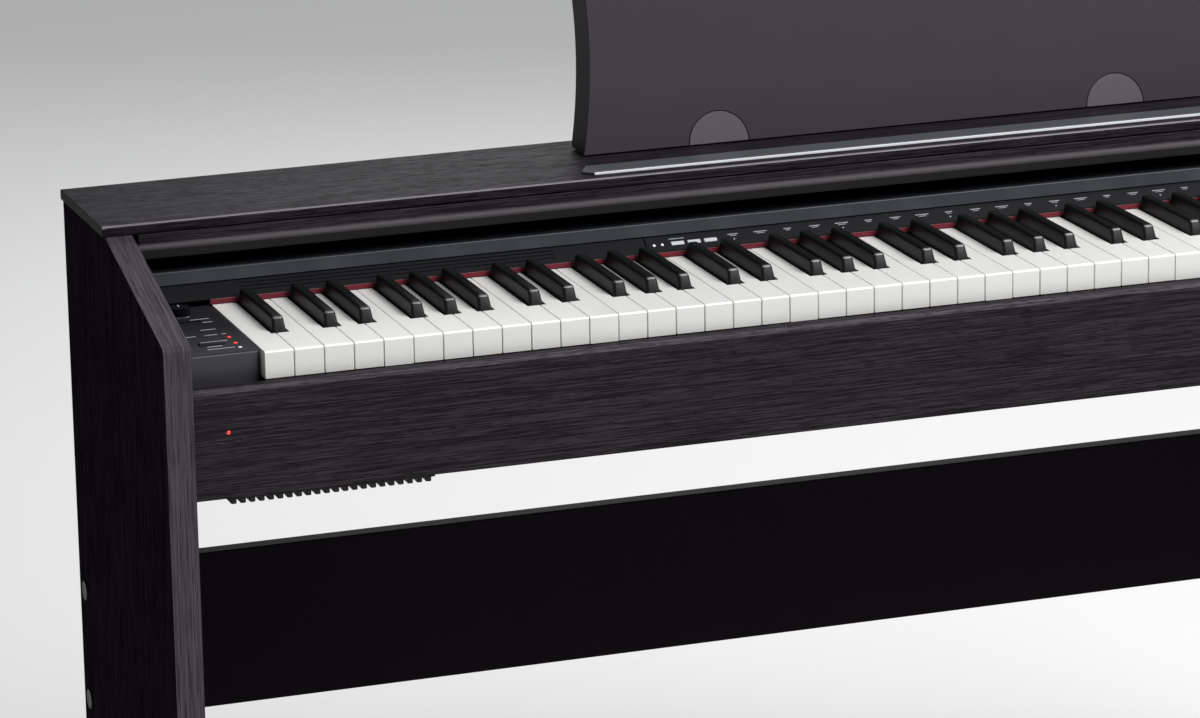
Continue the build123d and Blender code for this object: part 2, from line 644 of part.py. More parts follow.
# ---- console, end blocks and controls -------------------------------------------------
PANEL_LOW = (FELT_LINE + CONSOLE_LOW[0], KEY_TOP + CONSOLE_LOW[1])
PANEL_HIGH = (FELT_LINE + CONSOLE_HIGH[0], KEY_TOP + CONSOLE_HIGH[1])
CONSOLE_NORMAL = Vector(0, -sin(radians(CONSOLE_ANGLE)), cos(radians(CONSOLE_ANGLE)))
GROOVE_ENDS = [LEFT_KEY + lead for lead in GROOVE_LEAD]
CONSOLE_LENSES = [LEFT_KEY + lead for lead in CONSOLE_LENS_LEAD]
POWER_Z = CASE_BASE + POWER_HEIGHT


def console_plane(x, share):
    """A plane on the console's face, its Z axis out of the face."""
    y = PANEL_LOW[0] + share * (PANEL_HIGH[0] - PANEL_LOW[0])
    z = PANEL_LOW[1] + share * (PANEL_HIGH[1] - PANEL_LOW[1])
    return Plane(origin=(x, y, z), x_dir=(1, 0, 0), z_dir=CONSOLE_NORMAL)


def button_x(index):
    """The centre of a console button."""
    return FIRST_BUTTON + index * BUTTON_SPACING


def console_panel():
    """The sloping console face with its grooves, button holes and lamp holes."""
    inward = CONSOLE_NORMAL * -CONSOLE_THICKNESS
    low, high = PANEL_LOW, PANEL_HIGH
    outline = [low, high, (high[0] + 4, high[1]), (high[0] + 4, high[1] - CONSOLE_THICKNESS),
               (high[0] + inward.Y, high[1] + inward.Z), (low[0] + inward.Y, low[1] + inward.Z)]
    panel = along_x(outline, -INNER, INNER)
    length = GROOVE_ENDS[1] - GROOVE_ENDS[0]
    for share in GROOVE_SHARES:
        groove = Box(length, GROOVE_WIDTH, 2 * GROOVE_DEPTH)
        panel -= console_plane(sum(GROOVE_ENDS) / 2, share) * groove
    seam = Box(GROOVE_WIDTH, 4 * CONSOLE_HIGH[1], 2 * GROOVE_DEPTH)
    panel -= console_plane(CONSOLE_LENSES[0] - SEAM_LEAD, 0.5) * seam
    for index in range(3):
        hole = Box(BUTTON_LENGTH + 2 * BUTTON_CLEARANCE, BUTTON_WIDTH + 2 * BUTTON_CLEARANCE, 12)
        panel -= console_plane(button_x(index), BUTTON_SHARE) * hole
    for x in CONSOLE_LENSES:
        panel -= console_plane(x, BUTTON_SHARE) * Cylinder(LENS_RADIUS, 12)
    return panel


def console_button(index):
    """One console button, standing proud of the face."""
    height = CONSOLE_THICKNESS + BUTTON_PROUD
    cap = Pos(0, 0, BUTTON_PROUD - height / 2) * Box(BUTTON_LENGTH, BUTTON_WIDTH, height)
    cap = fillet(cap.faces().sort_by(Axis.Z)[-1].edges(), 0.5)
    return console_plane(button_x(index), BUTTON_SHARE) * cap


def end_block():
    """The left end block beside the keys, bored for its controls."""
    left, right = -INNER, LEFT_KEY - BLOCK_GAP
    body = block((left, right), (KEY_FRONT + BLOCK_SETBACK, FELT_LINE + 1.5),
                 (KEY_TOP - BLOCK_DEPTH, KEY_TOP))
    edges = body.edges().filter_by(Axis.X).group_by(Axis.Y)[0].sort_by(Axis.Z)[-1]
    return fillet(edges, 2.0)


BLOCK_X = -(INNER + KEYBOARD / 2 + BLOCK_GAP) / 2


def block_button(y, grow, depth):
    """A bar-shaped button of the end block, or its hole when it grows."""
    return block(
        (BLOCK_X - BLOCK_BUTTON_LENGTH / 2 - grow, BLOCK_X + BLOCK_BUTTON_LENGTH / 2 + grow),
        (KEY_FRONT + y - BLOCK_BUTTON_WIDTH / 2 - grow,
         KEY_FRONT + y + BLOCK_BUTTON_WIDTH / 2 + grow),
        (KEY_TOP - depth, KEY_TOP + BUTTON_PROUD),
    )


def controls():
    """End blocks, knob, buttons and indicator lenses."""
    left = end_block()
    right = mirror(left, Plane.YZ)
    pieces = {}
    for name, y in BLOCK_BUTTONS.items():
        left -= block_button(y, BUTTON_CLEARANCE, BUTTON_BODY + 3 * BUTTON_TRAVEL)
        button = block_button(y, 0, BUTTON_BODY)
        pieces[name] = [fillet(button.faces().sort_by(Axis.Z)[-1].edges(), 0.6)]
    shaft_y = KEY_FRONT + KNOB_Y
    left -= rod_z(KNOB_SHAFT + RUNNING_CLEARANCE, BLOCK_X, shaft_y, KEY_TOP - 20, KEY_TOP + 1)
    knob_base = KEY_TOP + KNOB_LIFT
    knob = rod_z(KNOB_RADIUS, BLOCK_X, shaft_y, knob_base, knob_base + KNOB_HEIGHT)
    knob = chamfer(knob.edges().sort_by(Axis.Z)[-1], 1.0)
    knob -= block((BLOCK_X - 0.6, BLOCK_X + 0.6), (shaft_y + 2, shaft_y + KNOB_RADIUS + 1),
                  (knob_base + KNOB_HEIGHT - 1, knob_base + KNOB_HEIGHT + 1))
    pieces["volume_knob"] = [knob + rod_z(KNOB_SHAFT, BLOCK_X, shaft_y, KEY_TOP - 15, KEY_TOP + 1)]
    lenses = [rod_y(LENS_RADIUS, SLIP_LENS[0], SLIP_FRONT - LENS_PROUD, SLIP_FRONT + 8,
                    SLIP_LENS[1])]
    for y in BLOCK_LIGHTS:
        lens = rod_z(LENS_RADIUS, LEFT_KEY - BLOCK_LIGHT_LEAD, KEY_FRONT + y,
                     KEY_TOP - 4, KEY_TOP + LENS_PROUD)
        left -= lens
        lenses.append(lens)
    for x in CONSOLE_LENSES:
        lens = Pos(0, 0, -1.3) * Cylinder(LENS_RADIUS, 3.4)
        lenses.append(console_plane(x, BUTTON_SHARE) * lens)
    switch_y = KEY_FRONT + SWITCH_Y
    pocket = KEY_TOP - BUTTON_BODY - 2 * SWITCH_PROUD
    right -= rod_z(SWITCH_RADIUS + BUTTON_CLEARANCE, -BLOCK_X, switch_y, pocket, KEY_TOP + 1)
    switch = rod_z(SWITCH_RADIUS, -BLOCK_X, switch_y, KEY_TOP - BUTTON_BODY, KEY_TOP + SWITCH_PROUD)
    pieces["power_button"] = [fillet(switch.edges().sort_by(Axis.Z)[-1], 0.8)]
    for index, name in enumerate(("piano_button", "organ_button", "tone_button")):
        pieces[name] = [console_button(index)]
    strip = block((-INNER, INNER), (PANEL_HIGH[0], PANEL_HIGH[0] + STRIP_DEPTH),
                  (PANEL_HIGH[1] + STRIP_GAP, PANEL_HIGH[1] + STRIP_GAP + STRIP_HEIGHT))
    strip = fillet(strip.edges().filter_by(Axis.X).group_by(Axis.Y)[0].sort_by(Axis.Z)[-1], 1.2)
    pieces.update({
        "end_blocks": [left, right],
        "indicator_lenses": lenses,
        "console_panel": [console_panel()],
        "console_strip": [strip],
    })
    return pieces


# ---- music rest ---------------------------------------------------------------------
def rest_outline(inset, low):
    """The rest's front outline in its own plane, from low up, with sides that curve in."""
    half, waist = REST_WIDTH / 2 - inset, REST_WAIST
    top, middle = REST_HEIGHT - inset, REST_HEIGHT / 2
    return make_face([
        Line((-half, low), (half, low)),
        ThreePointArc((half, low), (half - waist, middle), (half, top)),
        Line((half, top), (-half, top)),
        ThreePointArc((-half, top), (-half + waist, middle), (-half, low)),
    ])


def music_rest():
    """The music rest: a moulded shell, its back plate, two brackets, and its ledge."""
    foot_y, foot_z = rest_point(0, 0)
    face = Plane(origin=(REST_CENTRE, foot_y, foot_z), x_dir=(1, 0, 0), z_dir=-REST_NORMAL)
    floor = block((-OUTER, OUTER), (FRONT, BACK + REST_DEPTH), (TOP_HEIGHT - 60, foot_z))
    solid = extrude(face * rest_outline(0, -REST_DEPTH), -REST_DEPTH) - floor
    heel = solid.edges().filter_by(Axis.X).group_by(Axis.Z)[0].sort_by(Axis.Y)[-1]
    solid = fillet(heel, REST_HEEL)
    low = REST_WALL + REST_DEPTH * sin(radians(REST_LEAN))
    hollow = extrude(face.offset(-REST_WALL) * rest_outline(REST_WALL, low), -REST_DEPTH)
    back_face = face.offset(-REST_DEPTH + REST_BACK_INSET + REST_BACK_THICKNESS)
    back_outline = rest_outline(REST_WALL + REST_BACK_GAP, low + REST_BACK_GAP)
    back = extrude(back_face * back_outline, REST_BACK_THICKNESS)
    shell = solid - hollow
    brackets = []
    for x in plate_centres():
        spot = Plane(origin=(x, foot_y, foot_z), x_dir=(1, 0, 0), z_dir=-REST_NORMAL)
        disc = Pos(0, 0, -PLATE_THICKNESS / 2) * Cylinder(PLATE_RADIUS, PLATE_THICKNESS)
        upper = Pos(0, PLATE_RADIUS, 0) * Box(4 * PLATE_RADIUS, 2 * PLATE_RADIUS, 9)
        plate = spot * (disc & upper)
        shell -= plate
        brackets += [plate, rest_tab(x, 0) - solid]
    start = REST_CENTRE - REST_WIDTH / 2 - LEDGE_OVERRUN
    end = REST_CENTRE + REST_WIDTH / 2 + LEDGE_OVERRUN
    front, mitre = TOP_FRONT + LEDGE_SETBACK, LEDGE_MITRE
    outline = Polyline((start + mitre, front + TRIM_DEPTH), (end - mitre, front + TRIM_DEPTH),
                       (end, front + mitre), (end - mitre, front + LEDGE_DEPTH),
                       (start + mitre, front + LEDGE_DEPTH), (start, front + mitre), close=True)
    ledge = Pos(0, 0, TOP_HEIGHT) * extrude(make_face(outline), LEDGE_HEIGHT)
    trim = block((start + mitre - 1, end - mitre + 1), (front, front + TRIM_DEPTH),
                 (TOP_HEIGHT, TOP_HEIGHT + LEDGE_HEIGHT))
    return {
        "music_rest_front": [shell],
        "music_rest_back": [back],
        "music_rest_brackets": brackets,
        "music_ledge": [ledge],
        "ledge_trim": [trim],
    }


# ---- sound, electronics and pedals ----------------------------------------------------
def speaker(x):
    """One speaker: its basket with the magnet, and the cone inside."""
    base = CASE_BASE + KEYBED_THICKNESS
    flange_top, magnet_base = base + SPEAKER_FLANGE, base + MAGNET_BASE
    magnet_radius = SPEAKER_RADIUS - MAGNET_STEP
    bowl_radius = SPEAKER_RADIUS - SPEAKER_RIM
    bowl_height = magnet_base - flange_top
    flange = rod_z(SPEAKER_RADIUS, x, SPEAKER_Y, base, flange_top)
    bowl = Cone(bowl_radius, magnet_radius, bowl_height)
    bowl = Pos(x, SPEAKER_Y, (flange_top + magnet_base) / 2) * bowl
    magnet = rod_z(magnet_radius, x, SPEAKER_Y, magnet_base, base + SPEAKER_DEPTH)
    cavity = Cone(bowl_radius - SPEAKER_WALL, magnet_radius - 2 * SPEAKER_WALL, bowl_height)
    cavity = Pos(x, SPEAKER_Y, base + bowl_height / 2) * cavity
    cone = Cone(bowl_radius - 2 * SPEAKER_WALL, magnet_radius, CONE_HEIGHT)
    cone = Pos(x, SPEAKER_Y, base + CONE_HEIGHT / 2) * cone
    hollow = Cone(bowl_radius - 2.5 * SPEAKER_WALL, magnet_radius - SPEAKER_WALL, CONE_HEIGHT)
    hollow = Pos(x, SPEAKER_Y, base + CONE_HEIGHT / 2 - CONE_WALL) * hollow
    return [flange + bowl + magnet - cavity, cone - hollow]


def sockets():
    """The headphone socket box under the case, and the power inlet in its back."""
    x, front = KEYBOARD / 2 - SOCKET_INSET, KEY_FRONT + SOCKET_SETBACK
    width, depth, height = SOCKET_BOX
    box = block((x - width / 2, x + width / 2), (front, front + depth),
                (CASE_BASE - height, CASE_BASE))
    box = fillet(box.edges().filter_by(Axis.Y).group_by(Axis.Z)[0], 3.0)
    for side in (-1, 1):
        hole_x = x + side * JACK_SPACING / 2
        box -= rod_y(JACK_RADIUS, hole_x, front - 1, front + JACK_LENGTH, CASE_BASE - JACK_DROP)
    boss = rod_y(POWER_BOSS_RADIUS - 0.2, POWER_X, BACK - POWER_LENGTH - 3, BACK, POWER_Z)
    boss += rod_y(POWER_BOSS_RADIUS + POWER_FLANGE, POWER_X, BACK_FACE - 2, BACK_FACE, POWER_Z)
    boss -= rod_y(POWER_RADIUS, POWER_X, BACK - POWER_LENGTH, BACK + 1, POWER_Z)
    return {"headphone_and_power_sockets": [box, boss]}


PEDAL_BOX_BACK = RAIL_FRONT
PEDAL_BOX_FRONT = PEDAL_BOX_BACK - PEDAL_BOX_DEPTH
PEDAL_PIVOT_Y = PEDAL_BOX_BACK - PEDAL_HUB_INSET
PEDAL_NAMES = ("soft_pedal", "sostenuto_pedal", "damper_pedal")


def pedal(x):
    """One pedal lever: a rounded plate on a hub that turns on the pivot rod."""
    tip = PEDAL_BOX_FRONT - PEDAL_REACH
    half = PEDAL_WIDTH / 2
    plate = block((x - half, x + half), (tip, PEDAL_PIVOT_Y),
                  (PEDAL_HEIGHT - PEDAL_THICKNESS / 2, PEDAL_HEIGHT + PEDAL_THICKNESS / 2))
    plate = fillet(plate.edges().filter_by(Axis.Z).group_by(Axis.Y)[0], half - 0.5)
    plate += rod_x(PEDAL_HUB, x - half, x + half, PEDAL_PIVOT_Y, PEDAL_HEIGHT)
    return plate - rod_x(PEDAL_ROD + RUNNING_CLEARANCE, x - half - 1, x + half + 1,
                         PEDAL_PIVOT_Y, PEDAL_HEIGHT)


def pedal_box():
    """The pedal housing on the lower stretcher, slotted for the three levers."""
    half, wall = PEDAL_BOX_WIDTH / 2, PEDAL_BOX_WALL
    top = PEDAL_BOX_BASE + PEDAL_BOX_HEIGHT
    box = block((-half, half), (PEDAL_BOX_FRONT, PEDAL_BOX_BACK), (PEDAL_BOX_BASE, top))
    rounded = box.edges().filter_by(Axis.X).group_by(Axis.Y)[0].sort_by(Axis.Z)[-1]
    box = fillet(rounded, 10)
    box -= block((-half + wall, half - wall), (PEDAL_BOX_FRONT + wall, PEDAL_BOX_BACK - wall),
                 (PEDAL_BOX_BASE + wall, top - wall))
    for index in (-1, 0, 1):
        x = index * PEDAL_SPACING
        slot_half = PEDAL_WIDTH / 2 + PEDAL_SIDE_GAP
        box -= block((x - slot_half, x + slot_half),
                     (PEDAL_BOX_FRONT - 1, PEDAL_BOX_FRONT + wall + 1),
                     (PEDAL_HEIGHT - PEDAL_DIP, PEDAL_HEIGHT + PEDAL_THICKNESS))
    box -= rod_x(PEDAL_ROD, -half - 1, half + 1, PEDAL_PIVOT_Y, PEDAL_HEIGHT)
    return box - rod_z(ADJUSTER_RADIUS + GUIDE_CLEARANCE, 0, PEDAL_BOX_FRONT + ADJUSTER_SETBACK,
                       PEDAL_BOX_BASE - 1, PEDAL_BOX_BASE + wall + 1)


def pedals():
    """The pedal unit: housing, pivot rod, three levers and the height adjuster."""
    half = PEDAL_BOX_WIDTH / 2
    pieces = {
        "pedal_box": [pedal_box()],
        "pedal_pivot_rod": [rod_x(PEDAL_ROD, -half, half, PEDAL_PIVOT_Y, PEDAL_HEIGHT)],
    }
    for index, name in enumerate(PEDAL_NAMES):
        pieces[name] = [pedal((index - 1) * PEDAL_SPACING)]
    y = PEDAL_BOX_FRONT + ADJUSTER_SETBACK
    screw = rod_z(ADJUSTER_RADIUS, 0, y, ADJUSTER_FOOT_HEIGHT, PEDAL_BOX_BASE + 3 * PEDAL_BOX_WALL)
    foot = rod_z(ADJUSTER_FOOT, 0, y, 0, ADJUSTER_FOOT_HEIGHT)
    pieces["pedal_adjuster"] = [screw + chamfer(foot.edges().sort_by(Axis.Z)[-1], 2)]
    return pieces


def electronics():
    """The two speakers, and the main circuit board behind the console."""
    strip_base = PANEL_HIGH[1] + STRIP_GAP
    board_front = PANEL_HIGH[0] + CONSOLE_THICKNESS + 3
    board = block(BOARD_ENDS, (board_front, board_front + BOARD_DEPTH),
                  (strip_base - BOARD_THICKNESS, strip_base))
    return {
        "speakers": speaker(-SPEAKER_OFFSET) + speaker(SPEAKER_OFFSET),
        "main_circuit_board": [board],
    }


def main():
    """Write one STEP file for every named piece."""
    os.makedirs("parts", exist_ok=True)
    nodes = {}
    for section in (keys, keyboard_frame, cabinet, key_cover, controls, music_rest, sockets,
                    pedals, electronics):
        nodes.update(section())
    for name, shapes in nodes.items():
        solids = [solid for shape in shapes for solid in shape.solids()]
        export_step(Compound(label=name, children=solids), f"parts/{name}.step")
    print(len(nodes), "nodes")


main()
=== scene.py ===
import json
from contextlib import contextmanager
from math import atan2, cos, degrees, hypot, pi, radians, sin, sqrt

import bmesh
import bpy
from mathutils import Matrix, Vector


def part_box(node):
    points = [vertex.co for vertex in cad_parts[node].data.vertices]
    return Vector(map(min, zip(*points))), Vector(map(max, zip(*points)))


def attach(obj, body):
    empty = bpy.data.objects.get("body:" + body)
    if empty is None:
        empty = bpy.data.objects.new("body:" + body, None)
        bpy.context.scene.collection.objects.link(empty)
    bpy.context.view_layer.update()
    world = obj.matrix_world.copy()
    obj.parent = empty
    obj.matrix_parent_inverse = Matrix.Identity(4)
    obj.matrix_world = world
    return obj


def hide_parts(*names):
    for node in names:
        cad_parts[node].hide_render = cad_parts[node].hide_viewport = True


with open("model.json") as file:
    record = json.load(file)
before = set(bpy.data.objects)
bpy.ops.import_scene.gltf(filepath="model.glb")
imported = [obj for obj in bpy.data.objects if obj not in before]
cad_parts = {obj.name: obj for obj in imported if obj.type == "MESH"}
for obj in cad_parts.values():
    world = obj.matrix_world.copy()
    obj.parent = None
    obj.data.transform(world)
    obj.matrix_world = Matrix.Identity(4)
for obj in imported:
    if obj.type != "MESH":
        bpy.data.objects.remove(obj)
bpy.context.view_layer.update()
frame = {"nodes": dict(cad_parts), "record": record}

bl_info = {
    "name": "Console Piano Maker",
    "version": (1, 0, 0),
    "blender": (4, 5, 0),
    "location": "View3D > Sidebar > Piano",
    "description": "Makes the finished pieces of a console digital piano around its CAD frame",
    "category": "Add Mesh",
}

MM = 0.001

# ---- sizes that the pieces share, in metres ----
NOTES = ["c", "c_sharp", "d", "d_sharp", "e", "f", "f_sharp", "g", "g_sharp", "a", "a_sharp", "b"]
WHITE_NOTES = ["c", "d", "e", "f", "g", "a", "b"]
NOTE_COUNT = 88
KEY_PITCH = 23.5 * MM
WHITE_OCTAVE = len(WHITE_NOTES) * KEY_PITCH
KEY_GAP = 0.9 * MM
HEAD_LENGTH = 49 * MM
KEY_REACH = 147 * MM
NECK_DEPTH = 16 * MM
TAIL_DROP = 4 * MM
BLACK_WIDTH = 11 * MM
BLACK_CROWN = 8.8 * MM
BLACK_SLOPE = 6 * MM
CHEEK_CORNER = 14 * MM
CHEEK_RADIUS = 4 * MM
SLIP_BEVEL = 3.5 * MM
CAP_RADIUS = 8 * MM
CAP_DROPS = (("modesty_panel", (22 * MM, 114 * MM)), ("lower_stretcher", (25 * MM, 77 * MM)))
GLIDE_RADIUS = 10 * MM
CONSOLE_RUN = 12.5 * MM
CONSOLE_RISE = 10 * MM
FASCIA_START = 361.3 * MM
REST_LEAN = 10.0
REST_DEPTH = 35 * MM
REST_HEIGHT = 208 * MM
REST_WAIST = 11.5 * MM
REST_RIM = 4 * MM
REST_RECESS = 6.6 * MM
REST_HEEL = 6 * MM
TAB_HALF = Vector((15, 3)) * MM
TAB_DROP = 9 * MM
PLATE_RADIUS = 25.5 * MM
PLATE_SPACING = 352.5 * MM
PLATE_GAP = 0.7 * MM
PAST = 1 * MM                  # how far a cutter stands out of what it cuts
HALF_TURN = 3.14159265         # in radians; its last digits decide which ribs a tie goes to

KEY_LOW, KEY_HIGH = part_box("keys_c")
KEY_FRONT = KEY_LOW.y
KEY_TOP = KEY_HIGH.z
KEY_END = KEY_HIGH.y
KEY_FOOT = KEY_LOW.z
LEFT_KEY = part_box("keys_a")[0].x - KEY_GAP / 2
FELT_LINE = KEY_FRONT + KEY_REACH


# ---- modelling by hand ----
def only(piece):
    """Make one piece the only selected one, and the active one."""
    bpy.ops.object.select_all(action="DESELECT")
    piece.select_set(True)
    bpy.context.view_layer.objects.active = piece


def settle(name):
    """Name the active piece and put its place into its mesh."""
    piece = bpy.context.active_object
    piece.name = name
    piece.data.name = name
    bpy.ops.object.transform_apply(location=True, rotation=True, scale=True)
    return piece


def start_block(name, low, high):
    """Add a block between two corners, to be shaped further."""
    low, high = Vector(low), Vector(high)
    bpy.ops.object.select_all(action="DESELECT")
    bpy.ops.mesh.primitive_cube_add(size=1, location=(low + high) / 2, scale=high - low)
    return settle(name)


def start_round(name, radius, foot, head, sides=48):
    """Add a round bar from the middle of its foot to the middle of its head."""
    foot, head = Vector(foot), Vector(head)
    bpy.ops.object.select_all(action="DESELECT")
    turn = (head - foot).to_track_quat("Z", "Y").to_euler()
    bpy.ops.mesh.primitive_cylinder_add(vertices=sides, radius=radius, depth=(head - foot).length,
                                        location=(foot + head) / 2, rotation=turn)
    return settle(name)


@contextmanager
def shaping(piece):
    """Open a piece in edit mode with nothing selected, and close it again."""
    only(piece)
    bpy.ops.object.mode_set(mode="EDIT")
    bpy.ops.mesh.select_all(action="DESELECT")
    yield
    bpy.ops.object.mode_set(mode="OBJECT")


@contextmanager
def picking(piece, kind):
    """Start a new selection of points, edges or faces, and hand it back to edit mode."""
    bpy.ops.mesh.select_mode(type=kind)
    bpy.ops.mesh.select_all(action="DESELECT")
    yield bmesh.from_edit_mesh(piece.data)
    bmesh.update_edit_mesh(piece.data)


def pick_faces(piece, test):
    """Select the faces whose middle and normal pass the test."""
    with picking(piece, "FACE") as mesh:
        for face in mesh.faces:
            face.select_set(bool(test(face.calc_center_median(), face.normal)))


def pick_edges(piece, test):
    """Select the edges whose middle and direction pass the test."""
    with picking(piece, "EDGE") as mesh:
        for edge in mesh.edges:
            start, end = (corner.co for corner in edge.verts)
            edge.select_set(bool(test((start + end) / 2, (end - start).normalized())))


def pick_points(piece, test):
    """Select the points whose place passes the test."""
    with picking(piece, "VERT") as mesh:
        for point in mesh.verts:
            point.select_set(bool(test(point.co)))
        mesh.select_flush_mode()


def near(value, target, slack=0.05 * MM):
    """True where two lengths agree."""
    return abs(value - target) < slack


def slice_at(place, normal, clear=False):
    """Cut the piece in edit mode along a plane, and clear what lies along the normal."""
    bpy.ops.mesh.select_all(action="SELECT")
    bpy.ops.mesh.bisect(plane_co=place, plane_no=normal, use_fill=clear, clear_outer=clear)
    bpy.ops.mesh.select_all(action="DESELECT")


def round_edges(radius, segments=4):
    """Round the edges that are selected in edit mode."""
    bpy.ops.mesh.bevel(offset=radius, segments=segments, affect="EDGES")


def round_long(piece, y, z, radius, segments):
    """Round the one long edge that runs along X at a depth and a height."""
    with shaping(piece):
        pick_edges(piece, lambda m, d: abs(d.x) > 0.9 and near(m.y, y) and near(m.z, z))
        round_edges(radius, segments)


def narrow(piece, centre, share, test):
    """Scale the points that pass the test along X, about a centre."""
    pick_points(piece, test)
    bpy.ops.transform.resize(value=(share, 1, 1), center_override=centre)


def draw_out(*offset):
    """Draw the selected faces out, or press them in, as a solid."""
    bpy.ops.mesh.extrude_region_move(TRANSFORM_OT_translate={"value": offset})


def inset(border, depth=0.0, **choice):
    """Set the selected faces in from their border, and press them in by a depth."""
    bpy.ops.mesh.inset(thickness=border, depth=-depth, **choice)


def rib(piece, pairs, border, depth):
    """Press in every other face round the side of an upright round piece."""
    pick_faces(piece, lambda m, n: abs(n.z) < 0.1
               and round(atan2(n.y, n.x) * pairs / HALF_TURN) % 2 == 0)
    inset(border, depth, use_individual=True)


def face_outward(weld=False):
    """Point every normal outward, once points that meet are welded if so asked."""
    bpy.ops.mesh.select_all(action="SELECT")
    if weld:
        bpy.ops.mesh.remove_doubles(threshold=0.01 * MM)
    bpy.ops.mesh.normals_make_consistent(inside=False)


def apply_modifier(piece, kind, **settings):
    """Add one modifier to the piece, set it and apply it."""
    only(piece)
    modifier = piece.modifiers.new(kind.lower(), kind)
    for name, value in settings.items():
        setattr(modifier, name, value)
    bpy.ops.object.modifier_apply(modifier=modifier.name)


def ease(piece, width, segments=2, angle=40.0):
    """Round every edge that is still sharp, and smooth the shading between flat faces."""
    apply_modifier(piece, "BEVEL", width=width, segments=segments, limit_method="ANGLE",
                   angle_limit=radians(angle))
    only(piece)
    bpy.ops.object.shade_smooth_by_angle(angle=radians(angle))
    apply_modifier(piece, "WEIGHTED_NORMAL", keep_sharp=True)


def cut(piece, *cutters):
    """Cut other solids out of a piece and throw them away."""
    for cutter in cutters:
        apply_modifier(piece, "BOOLEAN", operation="DIFFERENCE", object=cutter, solver="EXACT")
        bpy.data.objects.remove(cutter)


def copy_piece(piece, name, offset):
    """Copy a finished piece, with its own mesh, and move it."""
    only(piece)
    bpy.ops.object.duplicate(linked=False)
    bpy.ops.transform.translate(value=offset)
    return settle(name)


def copies(first, stem, offsets):
    """A piece, and its numbered copies at some offsets."""
    return [first, *(copy_piece(first, f"{stem}_{number}", offset)
                     for number, offset in enumerate(offsets, 2))]


def middle_of(node):
    """The middle of a CAD node."""
    low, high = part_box(node)
    return (low.x + high.x) / 2, (low.y + high.y) / 2, (low.z + high.z) / 2


def tilt(pieces, angle, y, z):
    """Turn pieces by some degrees about a line along X, so that what is behind it rises."""
    for piece in pieces:
        only(piece)
        bpy.ops.transform.rotate(value=-radians(angle), orient_axis="X", center_override=(0, y, z))
        settle(piece.name)


def join(name, pieces):
    """Join pieces into one."""
    bpy.ops.object.select_all(action="DESELECT")
    for piece in pieces:
        piece.select_set(True)
    bpy.context.view_layer.objects.active = pieces[0]
    bpy.ops.object.join()
    pieces[0].name = name
    return pieces[0]


def dress(piece, body, slot, *finishes, replaces=()):
    """Give a piece its finishes, the body that carries it and the CAD nodes it stands for."""
    piece.data.materials.clear()
    for finish in finishes:
        piece.data.materials.append(material(finish))
    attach(piece, body)
    if replaces:
        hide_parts(*replaces)
    return piece


def paint(piece, test):
    """Give the faces that pass the test the second of the piece's finishes."""
    with shaping(piece):
        pick_faces(piece, test)
        piece.active_material_index = 1
        bpy.ops.object.material_slot_assign()


def eased_board(node, name, width, segments, body, slot, *finishes):
    """A straight board with eased edges, in place of a CAD board."""
    board = start_block(name, *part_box(node))
    ease(board, width, segments)
    return dress(board, body, slot, *finishes, replaces=[node])


def finish_cad(finish, *nodes):
    """Give CAD nodes a finish."""
    for node in nodes:
        part = frame["nodes"][node]
        if not part.material_slots:
            part.data.materials.append(material(finish))
        for place in part.material_slots:
            place.material = material(finish)


# ---- finishes ----
class Number:
    """A value inside a finish. Sums on it add Math nodes to the same finish."""

    def __init__(self, finish, socket):
        self.finish = finish
        self.socket = socket

    def _math(self, operation, first, second):
        return self.finish.node("ShaderNodeMath", {"operation": operation}, {0: first, 1: second})

    def __add__(self, other):
        return self._math("ADD", self, other)

    def __radd__(self, other):
        return self._math("ADD", other, self)

    def __sub__(self, other):
        return self._math("SUBTRACT", self, other)

    def __rsub__(self, other):
        return self._math("SUBTRACT", other, self)

    def __mul__(self, other):
        return self._math("MULTIPLY", self, other)

    def __rmul__(self, other):
        return self._math("MULTIPLY", other, self)


